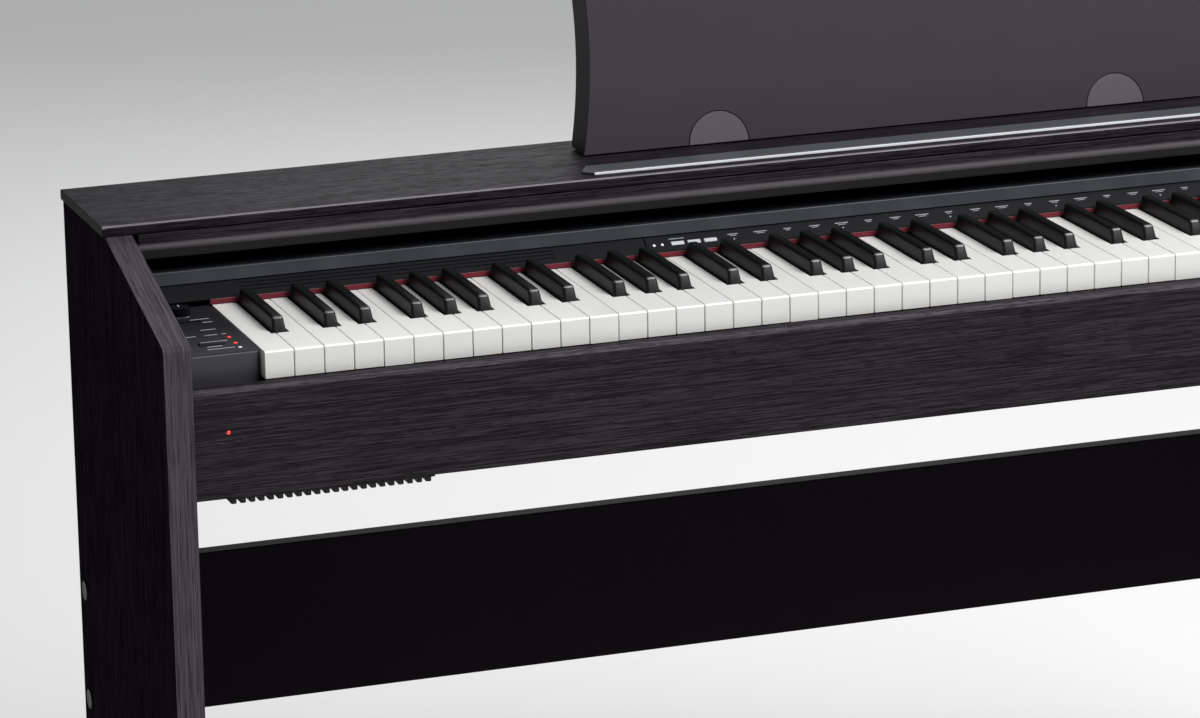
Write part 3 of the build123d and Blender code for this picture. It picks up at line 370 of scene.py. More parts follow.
class Finish:
    """A material with the few steps that the piano's finishes are made of."""

    def __init__(self, name, **levels):
        self.material = bpy.data.materials.new(name)
        self.material.use_nodes = True
        self.tree = self.material.node_tree
        self.shader = self.tree.nodes["Principled BSDF"]
        for socket, value in levels.items():
            self.set(socket.replace("_", " ").title(), value)

    def node(self, kind, settings, inputs, output=0):
        """Add one node: its settings first, then the values or links of its sockets."""
        made = self.tree.nodes.new(kind)
        for name, value in settings.items():
            setattr(made, name, value)
        for name, value in inputs.items():
            self.feed(made.inputs[name], value)
        return Number(self, made.outputs[output])

    def feed(self, socket, value):
        """Link a value to a socket, or set the socket to a plain number."""
        if isinstance(value, Number):
            self.tree.links.new(value.socket, socket)
        elif socket.type == "RGBA":
            socket.default_value = (*value, 1)
        else:
            socket.default_value = value

    def set(self, name, value):
        """Set one socket of the shader."""
        self.feed(self.shader.inputs[name.replace("Ior", "IOR")], value)

    def place(self):
        """The piece's own coordinates."""
        return self.node("ShaderNodeTexCoord", {}, {}, "Object")

    def noise(self, spot, counts, detail=2.0, roughness=0.5):
        """Soft noise from 0 to 1, with so many blots to the metre, one count or one for each axis."""
        if not isinstance(counts, tuple):
            counts = (counts,) * 3
        stretched = self.node("ShaderNodeVectorMath", {"operation": "MULTIPLY"}, {0: spot, 1: counts})
        return self.node("ShaderNodeTexNoise", {}, {"Vector": stretched, "Scale": 1.0,
                                                    "Detail": detail, "Roughness": roughness})

    def between(self, value, low, high):
        """0 below low, 1 above high, and a smooth step between."""
        return self.node("ShaderNodeMapRange", {"interpolation_type": "SMOOTHSTEP"},
                         {"Value": value, "From Min": low, "From Max": high})

    def blend(self, share, first, second):
        """A colour between two others."""
        return self.node("ShaderNodeMix", {"data_type": "RGBA"}, {0: share, 6: first, 7: second}, 2)

    def bump(self, height, depth, strength=1.0):
        """Raise the surface by a height from 0 to 1, times a depth in metres."""
        self.set("Normal", self.node("ShaderNodeBump", {}, {"Height": height, "Distance": depth,
                                                            "Strength": strength}))


WAVE_BEND = 1.5 * MM           # how far the streaks of the wood wander
HIGHLIGHT_TOP = 8.5 * MM          # heights above the rail's foot where its painted highlight band fades in
HIGHLIGHT_LOW = 5.5 * MM
PORE_COUNT = 1300              # pores to the metre across the grain
STREAK_COUNT = 900             # streaks to the metre across the grain
RUN = 45                       # streaks to the metre along the grain


def toned(colour, share):
    """A colour at a share of its brightness."""
    return tuple(level * share for level in colour)


def lines(along, run, across):
    """Noise counts for streaks along some axes: so many to the metre along and across them."""
    return tuple(run if axis in along else across for axis in "xyz")


def make_wood(name, share, along, run=RUN, shine=0.08, even=0.0):
    """Dark open-pored wood along some axes, with its share of the tones and their evenness."""
    colours = bpy.context.scene.piano_colours
    light = toned(colours.wood_light, share)
    dark = tuple(deep * share * (1 - even) + level * even
                 for deep, level in zip(colours.wood_dark, light))
    finish = Finish(name, specular_ior_level=shine)
    spot = finish.place()
    slow = finish.noise(spot, lines(along, 3, 18), 1.0)
    bent = finish.node("ShaderNodeVectorMath", {"operation": "ADD"},
                       {0: spot, 1: (slow - 0.5) * WAVE_BEND})
    streaks = finish.noise(bent, lines(along, run * 0.4, STREAK_COUNT))
    pores = finish.between(finish.noise(bent, lines(along, 2 * run, PORE_COUNT), 1.0), 0.52, 0.66)
    tone = finish.between(streaks * 0.96 + slow * 0.04, 0.34, 0.68)
    colour = finish.blend(tone, dark, light)
    finish.set("Base Color", finish.blend(pores * 0.6, colour, toned(dark, 0.3)))
    finish.set("Roughness", 0.56 - tone * 0.12 + pores * 0.2)
    finish.bump(tone * 0.5 - pores, 0.2 * MM, 0.5)
    return finish


def make_rail(name, highlight_colour):
    """The cover's rail: wood with a painted highlight, a lighter band along its lower rounding."""
    finish = make_wood(name, 1.0, "x", shine=0.1)
    height = finish.node("ShaderNodeSeparateXYZ", {}, {"Vector": finish.place()}, 2)
    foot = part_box("cover_handle")[0].z
    # painted highlight: the colour turns lighter below these heights, where light would catch the
    # rounding
    painted_highlight = finish.between(height, foot + HIGHLIGHT_TOP, foot + HIGHLIGHT_LOW)
    wood = Number(finish, finish.shader.inputs["Base Color"].links[0].from_socket)
    finish.set("Base Color", finish.blend(painted_highlight * 0.8, wood, highlight_colour))
    return finish


def make_plastic(name, colour, coarse, depth, roughness, shine=0.5):
    """Moulded plastic: a fine grain, so coarse and so many mm deep, and faint changes of shade."""
    finish = Finish(name, specular_ior_level=shine)
    spot = finish.place()
    grain = finish.noise(spot, coarse, 2.0, 0.6)
    cloud = finish.noise(spot, 30)
    finish.set("Base Color", finish.blend(grain * 0.6 + cloud * 0.4,
                                          toned(colour, 0.82), toned(colour, 1.25)))
    finish.set("Roughness", roughness + (grain - 0.5) * 0.12)
    finish.bump(grain, depth * MM, 0.6)
    return finish


def make_metal(name, colour, roughness):
    """Brushed or polished metal, with fine lines along X and a few faint smears."""
    finish = Finish(name, metallic=1.0)
    spot = finish.place()
    hairs = finish.noise(spot, (25, 2500, 2500))
    smears = finish.noise(spot, 40, 3.0)
    finish.set("Base Color", finish.blend(smears * 0.5, colour, toned(colour, 0.8)))
    finish.set("Roughness", roughness + (hairs - 0.5) * 0.15 + (smears - 0.5) * 0.2)
    finish.bump(hairs, 0.01 * MM, 0.4)
    return finish


def make_white_key(name, colour):
    """Satin white key plastic, a little warmer in soft clouds."""
    finish = Finish(name, specular_ior_level=0.5, coat_weight=0.25, coat_roughness=0.2)
    spot = finish.place()
    cloud = finish.noise(spot, 18)
    fine = finish.noise(spot, 1500, 1.0)
    warm = tuple(level * share for level, share in zip(colour, (1.0, 0.985, 0.955)))
    finish.set("Base Color", finish.blend(cloud, colour, warm))
    finish.set("Roughness", 0.3 + cloud * 0.08)
    finish.bump(fine, 0.006 * MM, 0.4)
    return finish


def make_felt(name, colour):
    """Woven felt: short crossing fibres and a soft sheen."""
    finish = Finish(name, sheen_weight=0.4, specular_ior_level=0.2)
    spot = finish.place()
    fibres = finish.noise(spot, (700, 2600, 2600), 3.0, 0.7)
    tufts = finish.noise(spot, (160, 400, 400))
    finish.set("Base Color", finish.blend(fibres * 0.6 + tufts * 0.4, toned(colour, 0.35), colour))
    finish.set("Roughness", 0.85 + fibres * 0.1)
    finish.bump(fibres, 0.25 * MM, 0.8)
    return finish


def make_lamp(name, colour, glow):
    """A small moulded lens with its lamp lit behind it."""
    finish = Finish(name, emission_strength=glow)
    cloud = finish.noise(finish.place(), 900)
    shade = finish.blend(cloud, colour, toned(colour, 0.7))
    finish.set("Base Color", shade)
    finish.set("Emission Color", shade)
    finish.set("Roughness", 0.2 + cloud * 0.1)
    return finish


def make_floor(colour):
    """A plain pale floor with the faintest mottle."""
    finish = Finish("pale_floor", specular_ior_level=0.2, emission_strength=0.16)
    cloud = finish.noise(finish.place(), 1.5, 3.0)
    finish.set("Base Color", finish.blend(cloud, colour, toned(colour, 0.97)))
    finish.set("Roughness", 0.75 + cloud * 0.1)
    return finish


# Each finish: its maker, its tone or the setting that holds it, and the maker's other values.
FINISHES = {
    "wood_x": (make_wood, 1.0, "x"),
    # painted shade: the side panels' broad faces, darkened by the side share
    "wood_z": (make_wood, "side_share", "z", RUN, 0.0),
    "wood_top": (make_wood, "top_share", "x", RUN, 0.04),
    # lighter edge wood: partly edge banding, partly painted highlight
    "wood_edge": (make_wood, "edge_share", "yz", 14, 0.08, 0.45),
    # painted highlight: lighter wood on the key slip's top bevel
    "slip_bevel": (make_wood, "edge_share", "x", RUN, 0.08, 0.3),
    "rail": (make_rail, "arris"),
    # painted highlight: a light colour for rounded front arrises, also used for the rail's band
    "arris": (make_plastic, "arris", 1200, 0.02, 0.4),
    "block_front": (make_plastic, "block_front", 2500, 0.01, 0.45),
    "plain_board": (make_plastic, "plain_board", 900, 0.02, 0.5, 0.03),
    "black_key": (make_plastic, "black_key", 1400, 0.04, 0.4, 0.2),
    # painted highlight: a light grey for the black keys' front top rounding
    "black_rub": (make_plastic, "black_rub", 1400, 0.01, 0.3),
    "console": (make_plastic, "console", 1500, 0.06, 0.55, 0.25),
    "console_smooth": (make_plastic, "console_smooth", 2500, 0.01, 0.42, 0.15),
    "strip": (make_plastic, "strip", 2500, 0.01, 0.4),
    "rest": (make_plastic, "rest", 1800, 0.02, 0.55, 0.3),
    # painted shade: a darker copy of the rest plastic for the rest's sides
    "rest_side": (make_plastic, "rest_side", 1800, 0.02, 0.5, 0.1),
    "rest_plate": (make_plastic, "rest_plate", 1800, 0.02, 0.5),
    "ledge": (make_plastic, "ledge", 2200, 0.01, 0.35),
    "black_plastic": (make_plastic, (0.006, 0.006, 0.007), 1500, 0.04, 0.45, 0.25),
    "cap": (make_plastic, (0.012, 0.012, 0.015), 1500, 0.02, 0.35, 0.06),
    "light_button": (make_plastic, (0.50, 0.51, 0.53), 2000, 0.01, 0.4),
    "print": (make_plastic, (0.34, 0.35, 0.37), 2500, 0.005, 0.6),
    # partly painted highlight: the trim's light colour also stands for the bright line of light along
    # the ledge's front
    "trim": (make_plastic, (0.74, 0.75, 0.78), 2500, 0.005, 0.25),
    "rubber": (make_plastic, (0.015, 0.015, 0.015), 700, 0.08, 0.75),
    "circuit": (make_plastic, (0.01, 0.12, 0.05), 300, 0.05, 0.4),
    "white_key": (make_white_key, "white_key"),
    # painted shade: a darker copy of the white key plastic for the key fronts
    "white_front": (make_white_key, "white_front"),
    "red_felt": (make_felt, "felt"),
    "stop_felt": (make_felt, (0.10, 0.11, 0.09)),
    "red_lamp": (make_lamp, (0.9, 0.03, 0.03), 1.4),
    "white_lamp": (make_lamp, (0.75, 0.78, 0.8), 0.35),
    "steel": (make_metal, (0.55, 0.55, 0.57), 0.38),
    "brass": (make_metal, (0.80, 0.60, 0.30), 0.2),
}
MADE = {}


def material(name):
    """The material of one finish, made the first time it is asked for."""
    if name not in MADE:
        make, tone, *levels = FINISHES[name]
        if isinstance(tone, str):
            tone = getattr(bpy.context.scene.piano_colours, tone)
        MADE[name] = make(name, tone, *levels).material
    return MADE[name]


# ---- settings that a user would change ----
def colour_setting(name, description, default):
    """One colour setting."""
    return bpy.props.FloatVectorProperty(name=name, description=description, default=default,
                                         size=3, min=0.0, max=1.0, subtype="COLOR")


def number_setting(name, description, default, **kind):
    """One number that can't go below 0, such as a length, a share or a power."""
    return bpy.props.FloatProperty(name=name, description=description, default=default, min=0.0,
                                   **kind)


SHARE = {"max": 4.0, "subtype": "FACTOR"}
LENGTH = {"subtype": "DISTANCE", "unit": "LENGTH", "precision": 5}
POWER = {"unit": "POWER"}


class PianoColours(bpy.types.PropertyGroup):
    """The colours of the piano's finishes."""

    wood_dark: colour_setting("Wood, dark", "Dark tone of the wood grain", (0.0085, 0.0064, 0.0086))
    wood_light: colour_setting("Wood, light", "Light tone of the wood grain", (0.031, 0.0258, 0.0315))
    # painted shade on the side panels' broad faces
    side_share: number_setting("Side tone", "Tone of the side panels' broad faces", 0.58, **SHARE)
    # lighter edges: partly edge banding, partly painted highlight; also used for the slip's bevel
    edge_share: number_setting("Edge tone", "Tone of the side panels' edge banding", 2.4, **SHARE)
    top_share: number_setting("Top tone", "Tone of the top board", 0.84, **SHARE)
    block_front: colour_setting("Block fronts", "Fronts of the end blocks", (0.031, 0.031, 0.037))
    # painted highlight on rounded front arrises
    arris: colour_setting("Arris", "Painted highlight on the front arrises", (0.135, 0.122, 0.133))
    plain_board: colour_setting("Plain board", "Smooth rails of the stand", (0.0065, 0.0042, 0.0068))
    white_key: colour_setting("White keys", "White key plastic", (0.88, 0.88, 0.865))
    # painted shade on the white keys' fronts
    white_front: colour_setting("Key fronts", "Fronts of the white keys", (0.70, 0.70, 0.685))
    black_key: colour_setting("Black keys", "Black key plastic", (0.006, 0.0066, 0.0064))
    # painted highlight on the black keys' front top rounding
    black_rub: colour_setting("Black key edge", "Rubbed edge of a black key", (0.085, 0.09, 0.088))
    console: colour_setting("Console", "Textured console plastic", (0.012, 0.012, 0.015))
    console_smooth: colour_setting("Console front", "Smooth console plastic", (0.0042, 0.0044, 0.0060))
    strip: colour_setting("Console strip", "Strip above the console", (0.046, 0.051, 0.062))
    rest: colour_setting("Music rest", "Music rest plastic", (0.0285, 0.0228, 0.0295))
    # painted shade on the music rest's sides
    rest_side: colour_setting("Rest sides", "Sides of the music rest", (0.010, 0.006, 0.010))
    rest_plate: colour_setting("Rest plates", "Half-round bracket plates", (0.079, 0.069, 0.083))
    ledge: colour_setting("Music ledge", "Ledge in front of the rest", (0.062, 0.066, 0.076))
    felt: colour_setting("Felt", "Felt strip behind the keys", (0.20, 0.006, 0.022))


class PianoSizes(bpy.types.PropertyGroup):
    """Roundings that the CAD frame leaves open."""

    board_ease: number_setting("Board easing", "Rounding of the boards' edges", 0.7 * MM, **LENGTH)
    board_arris: number_setting("Top arris", "Rounding of the top board's front", 3.0 * MM, **LENGTH)
    key_round: number_setting("Key front", "Rounding of a white key's front", 1.8 * MM, **LENGTH)
    key_ease: number_setting("Key easing", "Rounding of a key's other edges", 0.4 * MM, **LENGTH)
    black_round: number_setting("Black key", "Rounding of a black key's top", 2.2 * MM, **LENGTH)
    handle_round: number_setting("Handle", "Rounding under the cover's rail", 5.0 * MM, **LENGTH)


class PianoStage(bpy.types.PropertyGroup):
    """Floor, lights and camera."""

    floor: colour_setting("Floor", "Colour of the floor", (0.74, 0.74, 0.73))
    sky: number_setting("Ambient", "Strength of the light all round", 0.24, **SHARE)
    key_power: number_setting("Key light", "Softbox at the front right", 185.0, **POWER)
    rim_power: number_setting("Rim light", "Softbox behind the piano", 40.0, **POWER)
    fill_power: number_setting("Fill light", "Softbox at the front left", 3.0, **POWER)
    lens: number_setting("Lens", "Focal length of the camera", 155.8, subtype="DISTANCE_CAMERA")


# ---- stage ----
CAMERA_PLACE = Vector((-1.610, -3.7545, 1.759))
CAMERA_AZIMUTH = 19.26
CAMERA_DROP = 15.52
CAMERA_ROLL = -0.94
SENSOR_WIDTH = 36
FAR_CLIP = 100
FLOOR_SIZE = 40.0
SKY_COLOUR = (0.93, 0.95, 1.0, 1)
SOFTBOXES = (                  # name, place, aim and size
    ("key", (1.5, -2.0, 3.5), (-0.1, 0, 0.75), 2.2),
    ("rim", (1.2, 2.6, 2.3), (0.0, 0, 0.75), 2.4),
    ("fill", (-3.0, -2.4, 1.6), (-0.4, 0, 0.6), 1.8),
)


def camera_turn():
    """The camera's axes, from its azimuth, its drop and its roll."""
    azimuth, drop, roll = (radians(a) for a in (CAMERA_AZIMUTH, CAMERA_DROP, CAMERA_ROLL))
    right = Vector((cos(azimuth), -sin(azimuth), 0))
    ahead = Vector((sin(azimuth) * cos(drop), cos(azimuth) * cos(drop), -sin(drop)))
    up = right.cross(ahead)
    across = right * cos(roll) + up * sin(roll)
    upward = up * cos(roll) - right * sin(roll)
    return Matrix((across, upward, -ahead)).transposed().to_4x4()


def softbox(name, place, aim, size, power):
    """One square soft light that points at a spot."""
    bpy.ops.object.select_all(action="DESELECT")
    turn = (Vector(place) - Vector(aim)).to_track_quat("Z", "Y").to_euler()
    bpy.ops.object.light_add(type="AREA", location=place, rotation=turn)
    light = bpy.context.active_object
    light.name = name
    light.data.shape = "SQUARE"
    light.data.size = size
    light.data.energy = power


class PIANO_OT_stage(bpy.types.Operator):
    """Set the floor, the lights and the camera"""

    bl_idname = "piano.stage"
    bl_label = "Stage"

    def execute(self, context):
        scene = context.scene
        stage = scene.piano_stage
        bpy.ops.object.select_all(action="DESELECT")
        bpy.ops.mesh.primitive_grid_add(x_subdivisions=8, y_subdivisions=8, size=FLOOR_SIZE)
        floor = settle("floor")
        floor.data.materials.append(make_floor(stage.floor).material)
        scene.world = scene.world or bpy.data.worlds.new("surroundings")
        scene.world.use_nodes = True
        sky = scene.world.node_tree.nodes["Background"]
        sky.inputs["Color"].default_value = SKY_COLOUR
        sky.inputs["Strength"].default_value = stage.sky
        for name, place, aim, size in SOFTBOXES:
            softbox(name + "_softbox", place, aim, size, getattr(stage, name + "_power"))
        bpy.ops.object.camera_add(location=CAMERA_PLACE, rotation=camera_turn().to_euler())
        camera = context.active_object
        camera.data.lens = stage.lens
        camera.data.sensor_width = SENSOR_WIDTH
        camera.data.clip_end = FAR_CLIP
        scene.camera = camera
        scene.view_settings.view_transform = "Standard"
        return {"FINISHED"}


# ---- keys ----
# Each key colour's second finish and the faces it goes on: white key fronts darker (painted shade), the
# black keys' front top rounding light grey (painted highlight).
FACED = {"white": ("white_front", lambda m, n: n.y < -0.9),
         "black": ("black_rub", lambda m, n: n.y < -0.5 and n.z > 0.5 and m.z > KEY_TOP + 8 * MM)}


def tail_edges(note):
    """Left and right edge of a note's tail in its octave, counted from the C key."""
    low = NOTES.index("f")
    step = 3 * KEY_PITCH / low if note < low else 4 * KEY_PITCH / (len(NOTES) - low)
    start = note * step if note < low else 3 * KEY_PITCH + (note - low) * step
    return start, start + step


def white_key(name, left, tail_left, tail_right, sizes):
    """One white key: a full-width head, a neck between the black keys and a hidden tail."""
    gap = KEY_GAP / 2
    beyond = 5 * MM
    neck = KEY_FRONT + HEAD_LENGTH
    key = start_block(name, (left + gap, KEY_FRONT, KEY_FOOT),
                      (left + KEY_PITCH - gap, KEY_END, KEY_TOP))
    before, after = left - beyond, left + KEY_PITCH + beyond
    low, high = KEY_FOOT - beyond, KEY_TOP + beyond
    spaces = [(before, after, neck, low, KEY_TOP - NECK_DEPTH),
              (before, after, FELT_LINE + 3 * MM, KEY_TOP - TAIL_DROP, high)]
    if tail_left > left:
        spaces.append((before, tail_left + gap, neck, low, high))
    if tail_right < left + KEY_PITCH:
        spaces.append((tail_right - gap, after, neck, low, high))
    cut(key, *(start_block("space", (x_low, front, foot), (x_high, KEY_END + beyond, head))
               for x_low, x_high, front, foot, head in spaces))
    round_long(key, KEY_FRONT, KEY_TOP, sizes.key_round, 4)
    ease(key, sizes.key_ease, 2, 50)
    return key


def black_key(name, centre, sizes):
    """One black key: a tapered cap with a sloping front, on a flat tail."""
    half = BLACK_WIDTH / 2
    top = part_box("keys_c_sharp")[1].z
    front, back = KEY_FRONT + HEAD_LENGTH + 1 * MM, FELT_LINE - 1 * MM
    key = start_block(name, (centre - half, front, KEY_TOP - NECK_DEPTH), (centre + half, back, top))
    with shaping(key):
        slice_at((0, 0, KEY_TOP), (0, 0, 1))
        slice_at((0, 0, KEY_TOP - TAIL_DROP), (0, 0, 1))
        narrow(key, (centre, back, top), BLACK_CROWN / BLACK_WIDTH, lambda p: near(p.z, top))
        pick_points(key, lambda p: near(p.z, top) and near(p.y, front))
        bpy.ops.transform.translate(value=(0, BLACK_SLOPE, 0))
        pick_edges(key, lambda m, d: m.z > KEY_TOP + 1 * MM and m.y < back - 1 * MM)
        round_edges(sizes.black_round)
        pick_faces(key, lambda m, n: n.y > 0.9 and m.z < KEY_TOP - TAIL_DROP)
        draw_out(0, KEY_END - back, 0)
    ease(key, sizes.key_ease, 2, 50)
    return key


class PIANO_OT_keys(bpy.types.Operator):
    """Make the 88 keys, each note once and then copied from octave to octave"""

    bl_idname = "piano.keys"
    bl_label = "Keys"

    def execute(self, context):
        sizes = context.scene.piano_sizes
        made = {}
        for number in range(NOTE_COUNT):
            octave, note = divmod(number + NOTES.index("a"), len(NOTES))
            start = LEFT_KEY + octave * WHITE_OCTAVE - WHITE_NOTES.index("a") * KEY_PITCH
            name = NOTES[note]
            colour = "white" if name in WHITE_NOTES else "black"
            title = f"key_{number + 1:02d}_{name}"
            tail_left, tail_right = (start + edge for edge in tail_edges(note))
            end_key = number in (0, NOTE_COUNT - 1)
            if name in made and not end_key:
                first, first_start = made[name]
                key = copy_piece(first, title, (start - first_start, 0, 0))
            elif colour == "white":
                left = start + WHITE_NOTES.index(name) * KEY_PITCH
                if number == 0:
                    tail_left = left
                if number == NOTE_COUNT - 1:
                    tail_right = left + KEY_PITCH
                key = white_key(title, left, tail_left, tail_right, sizes)
            else:
                key = black_key(title, (tail_left + tail_right) / 2, sizes)
            if name not in made and not end_key:
                made[name] = (key, start)
            # the second finish: a darker white on white key fronts (painted shade), a light grey on the
            # black keys' front top rounding (painted highlight)
            front, test = FACED[colour]
            dress(key, "key_" + name, colour + "_key_plastic", colour + "_key", front,
                  replaces=["keys_" + name])
            paint(key, test)
        return {"FINISHED"}


class PIANO_OT_keyboard_frame(bpy.types.Operator):
    """Finish the chassis, the pivot bar and the felts"""

    bl_idname = "piano.keyboard_frame"
    bl_label = "Keyboard frame"

    def execute(self, context):
        finish_cad("steel", "key_chassis", "key_pivot_bar")
        finish_cad("stop_felt", "key_stop_felt")
        finish_cad("red_felt", "red_felt_strip")
        return {"FINISHED"}


# ---- cabinet ----
class PIANO_OT_side_panels(bpy.types.Operator):
    """Make the two side panels"""

    bl_idname = "piano.side_panels"
    bl_label = "Side panels"

    def execute(self, context):
        for side in ("left", "right"):
            self.panel(side, context.scene.piano_sizes)
        return {"FINISHED"}

    def panel(self, side, sizes):
        """One side panel: upright behind, sloping down to a rounded corner in front."""
        low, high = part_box(side + "_side_panel")
        top_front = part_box("top_board")[0].y + 3 * MM
        corner = KEY_TOP + CHEEK_CORNER
        panel = start_block(side + "_side_board", low, high)
        with shaping(panel):
            slice_at((0, top_front, high.z), (0, corner - high.z, top_front - low.y), clear=True)
            pick_edges(panel, lambda m, d: abs(d.x) > 0.9 and near(m.y, low.y) and m.z > KEY_TOP)
            round_edges(CHEEK_RADIUS, 6)
        ease(panel, sizes.board_ease)
        # the broad faces take wood_z, darkened as painted shade
        dress(panel, "cabinet", "dark_wood", "wood_z", "wood_edge", replaces=[side + "_side_panel"])
        # the edges and the rounded corner take the lighter wood_edge: partly edge banding, partly
        # painted highlight
        paint(panel, lambda m, n: abs(n.x) < 0.8)


class PIANO_OT_boards(bpy.types.Operator):
    """Make the top board, the key slip and the stand's rails"""

    bl_idname = "piano.boards"
    bl_label = "Boards"

    def execute(self, context):
        sizes = context.scene.piano_sizes
        low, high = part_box("top_board")
        board = start_block("piano_top", low, high)
        cut(board, *rest_tabs(0.4 * MM))
        round_long(board, low.y, high.z, sizes.board_arris, 5)
        ease(board, sizes.board_ease)
        dress(board, "cabinet", "dark_wood", "wood_top", "arris", replaces=["top_board"])
        # the rounded front arris takes the light arris colour: a painted highlight
        back = low.y + sizes.board_arris
        paint(board, lambda m, n: n.y < -0.2 and n.z > 0.5 and m.y < back)
        low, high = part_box("key_slip")
        slip = start_block("key_slip_board", low, high)
        round_long(slip, low.y, high.z, SLIP_BEVEL, 1)
        ease(slip, sizes.board_ease, 2, 30)
        dress(slip, "cabinet", "dark_wood", "wood_x", "slip_bevel", replaces=["key_slip"])
        # the slip's top bevel takes the lighter second finish: a painted highlight
        paint(slip, lambda m, n: n.y < -0.4 and n.z > 0.4 and m.z > high.z - 4 * MM)
        for node, name in (("modesty_panel", "modesty_board"), ("lower_stretcher", "stretcher_board")):
            eased_board(node, name, 1.2 * MM, 3, "cabinet", "plain_dark_board", "plain_board")
        finish_cad("plain_board", "case_back", "keybed_board")
        finish_cad("steel", "panel_bolts", "case_brackets")
        return {"FINISHED"}


VENT_PITCH = 7.3 * MM
VENT_TEETH = 22


class PIANO_OT_small_cabinet_parts(bpy.types.Operator):
    """Make the vent comb, the bolt caps and the floor glides"""

    bl_idname = "piano.small_cabinet_parts"
    bl_label = "Vents, caps and glides"

    def execute(self, context):
        low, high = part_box("vent_comb")
        tooth = start_block("vent_teeth", low, (low.x + VENT_PITCH * 0.6, high.y, high.z))
        ease(tooth, 0.8 * MM)
        apply_modifier(tooth, "ARRAY", count=VENT_TEETH, use_relative_offset=False,
                       use_constant_offset=True, constant_offset_displace=(VENT_PITCH, 0, 0))
        bar = start_block("vent_bar", (low.x, low.y, high.z - 1.5 * MM), high)
        ease(bar, 0.4 * MM)
        comb = join("vent_grille", [tooth, bar])
        dress(comb, "cabinet", "black_plastic", "black_plastic", replaces=["vent_comb"])
        self.caps()
        self.glides()
        return {"FINISHED"}

    def caps(self):
        """The round caps over the panel bolts: four on the right, and the same on the left."""
        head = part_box("bolt_caps")[1].x
        across = middle_of("modesty_panel")[1]
        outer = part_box("right_side_panel")[1].x
        heights = [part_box(node)[1].z - drop for node, drops in CAP_DROPS for drop in drops]
        first = start_round("bolt_cap_1", CAP_RADIUS, (outer, across, heights[0]),
                            (head, across, heights[0]), 40)
        with shaping(first):
            pick_faces(first, lambda m, n: n.x > 0.9)
            inset(5.2 * MM, 0.35 * MM)
        ease(first, 0.45 * MM, 3)
        caps = copies(first, "bolt_cap", [(0, 0, height - heights[0]) for height in heights[1:]])
        for number, cap in enumerate(list(caps), len(caps) + 1):
            copy_piece(cap, f"bolt_cap_{number}", (0, 0, 0))
            bpy.ops.transform.rotate(value=pi, orient_axis="Z", center_override=(0, across, 0))
            caps.append(settle(f"bolt_cap_{number}"))
        for cap in caps:
            dress(cap, "cabinet", "black_plastic", "cap", replaces=["bolt_caps"])

    def glides(self):
        """The four round glides."""
        low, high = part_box("floor_glides")
        corners = [Vector((x, y, low.z)) for x in (low.x + GLIDE_RADIUS, high.x - GLIDE_RADIUS)
                   for y in (low.y + GLIDE_RADIUS, high.y - GLIDE_RADIUS)]
        first = start_round("floor_glide_1", GLIDE_RADIUS, corners[0],
                            (*corners[0].xy, high.z), 32)
        with shaping(first):
            pick_faces(first, lambda m, n: n.z < -0.9)
            inset(2.5 * MM)
        ease(first, 1.2 * MM, 3)
        for glide in copies(first, "floor_glide", [corner - corners[0] for corner in corners[1:]]):
            dress(glide, "cabinet", "black_plastic", "black_plastic", replaces=["floor_glides"])


# ---- key cover ----
class PIANO_OT_key_cover(bpy.types.Operator):
    """Make the sliding cover's rail, its finger lip and its front leaf"""

    bl_idname = "piano.key_cover"
    bl_label = "Key cover"

    def execute(self, context):
        sizes = context.scene.piano_sizes
        low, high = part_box("cover_handle")
        rail = start_block("cover_rail", low, high)
        round_long(rail, low.y, low.z, sizes.handle_round, 7)
        ease(rail, 1.0 * MM, 3, 50)
        dress(rail, "cover_front", "dark_wood", "rail", replaces=["cover_handle"])
        eased_board("cover_finger_lip", "cover_lip", 1.2 * MM, 3,
                    "cover_front", "black_plastic", "black_plastic")
        eased_board("cover_front_leaf", "cover_leaf", sizes.board_ease, 2,
                    "cover_front", "plain_dark_board", "wood_x")
        finish_cad("plain_board", "cover_rear_leaf")
        finish_cad("black_plastic", "cover_guides")
        finish_cad("steel", "cover_carriage")
        return {"FINISHED"}


# ---- console ----
CONSOLE_SLOPE = degrees(atan2(CONSOLE_RISE, CONSOLE_RUN))
FACE_LENGTH = hypot(CONSOLE_RUN, CONSOLE_RISE)
CONTROL_SHARE = 0.46           # how far up the face the buttons stand
BUTTON_COUNT = 3
FIRST_BUTTON = -223.5 * MM
BUTTON_SPACING = 14 * MM
BUTTON_HALF = Vector((5.8, 2.1)) * MM
LAMP_PLACES = (367.5, 374.5)   # mm from the left end of the keys
LENS_RADIUS = 1.5 * MM
FASCIA_THICKNESS = 0.5 * MM
MARK_HEIGHT = 0.06 * MM
KEY_MARKS = ((3.4, 1.0, 0.7), (1.8, 0.6, 0.5))   # mm up the face, share of the length, mm wide


def mark(name, x, y, z, length, width):
    """One printed bar, lying flat."""
    bar = start_block(name, (x - length / 2, y - width / 2, z),
                      (x + length / 2, y + width / 2, z + MARK_HEIGHT))
    ease(bar, 0.02 * MM, 1)
    return bar


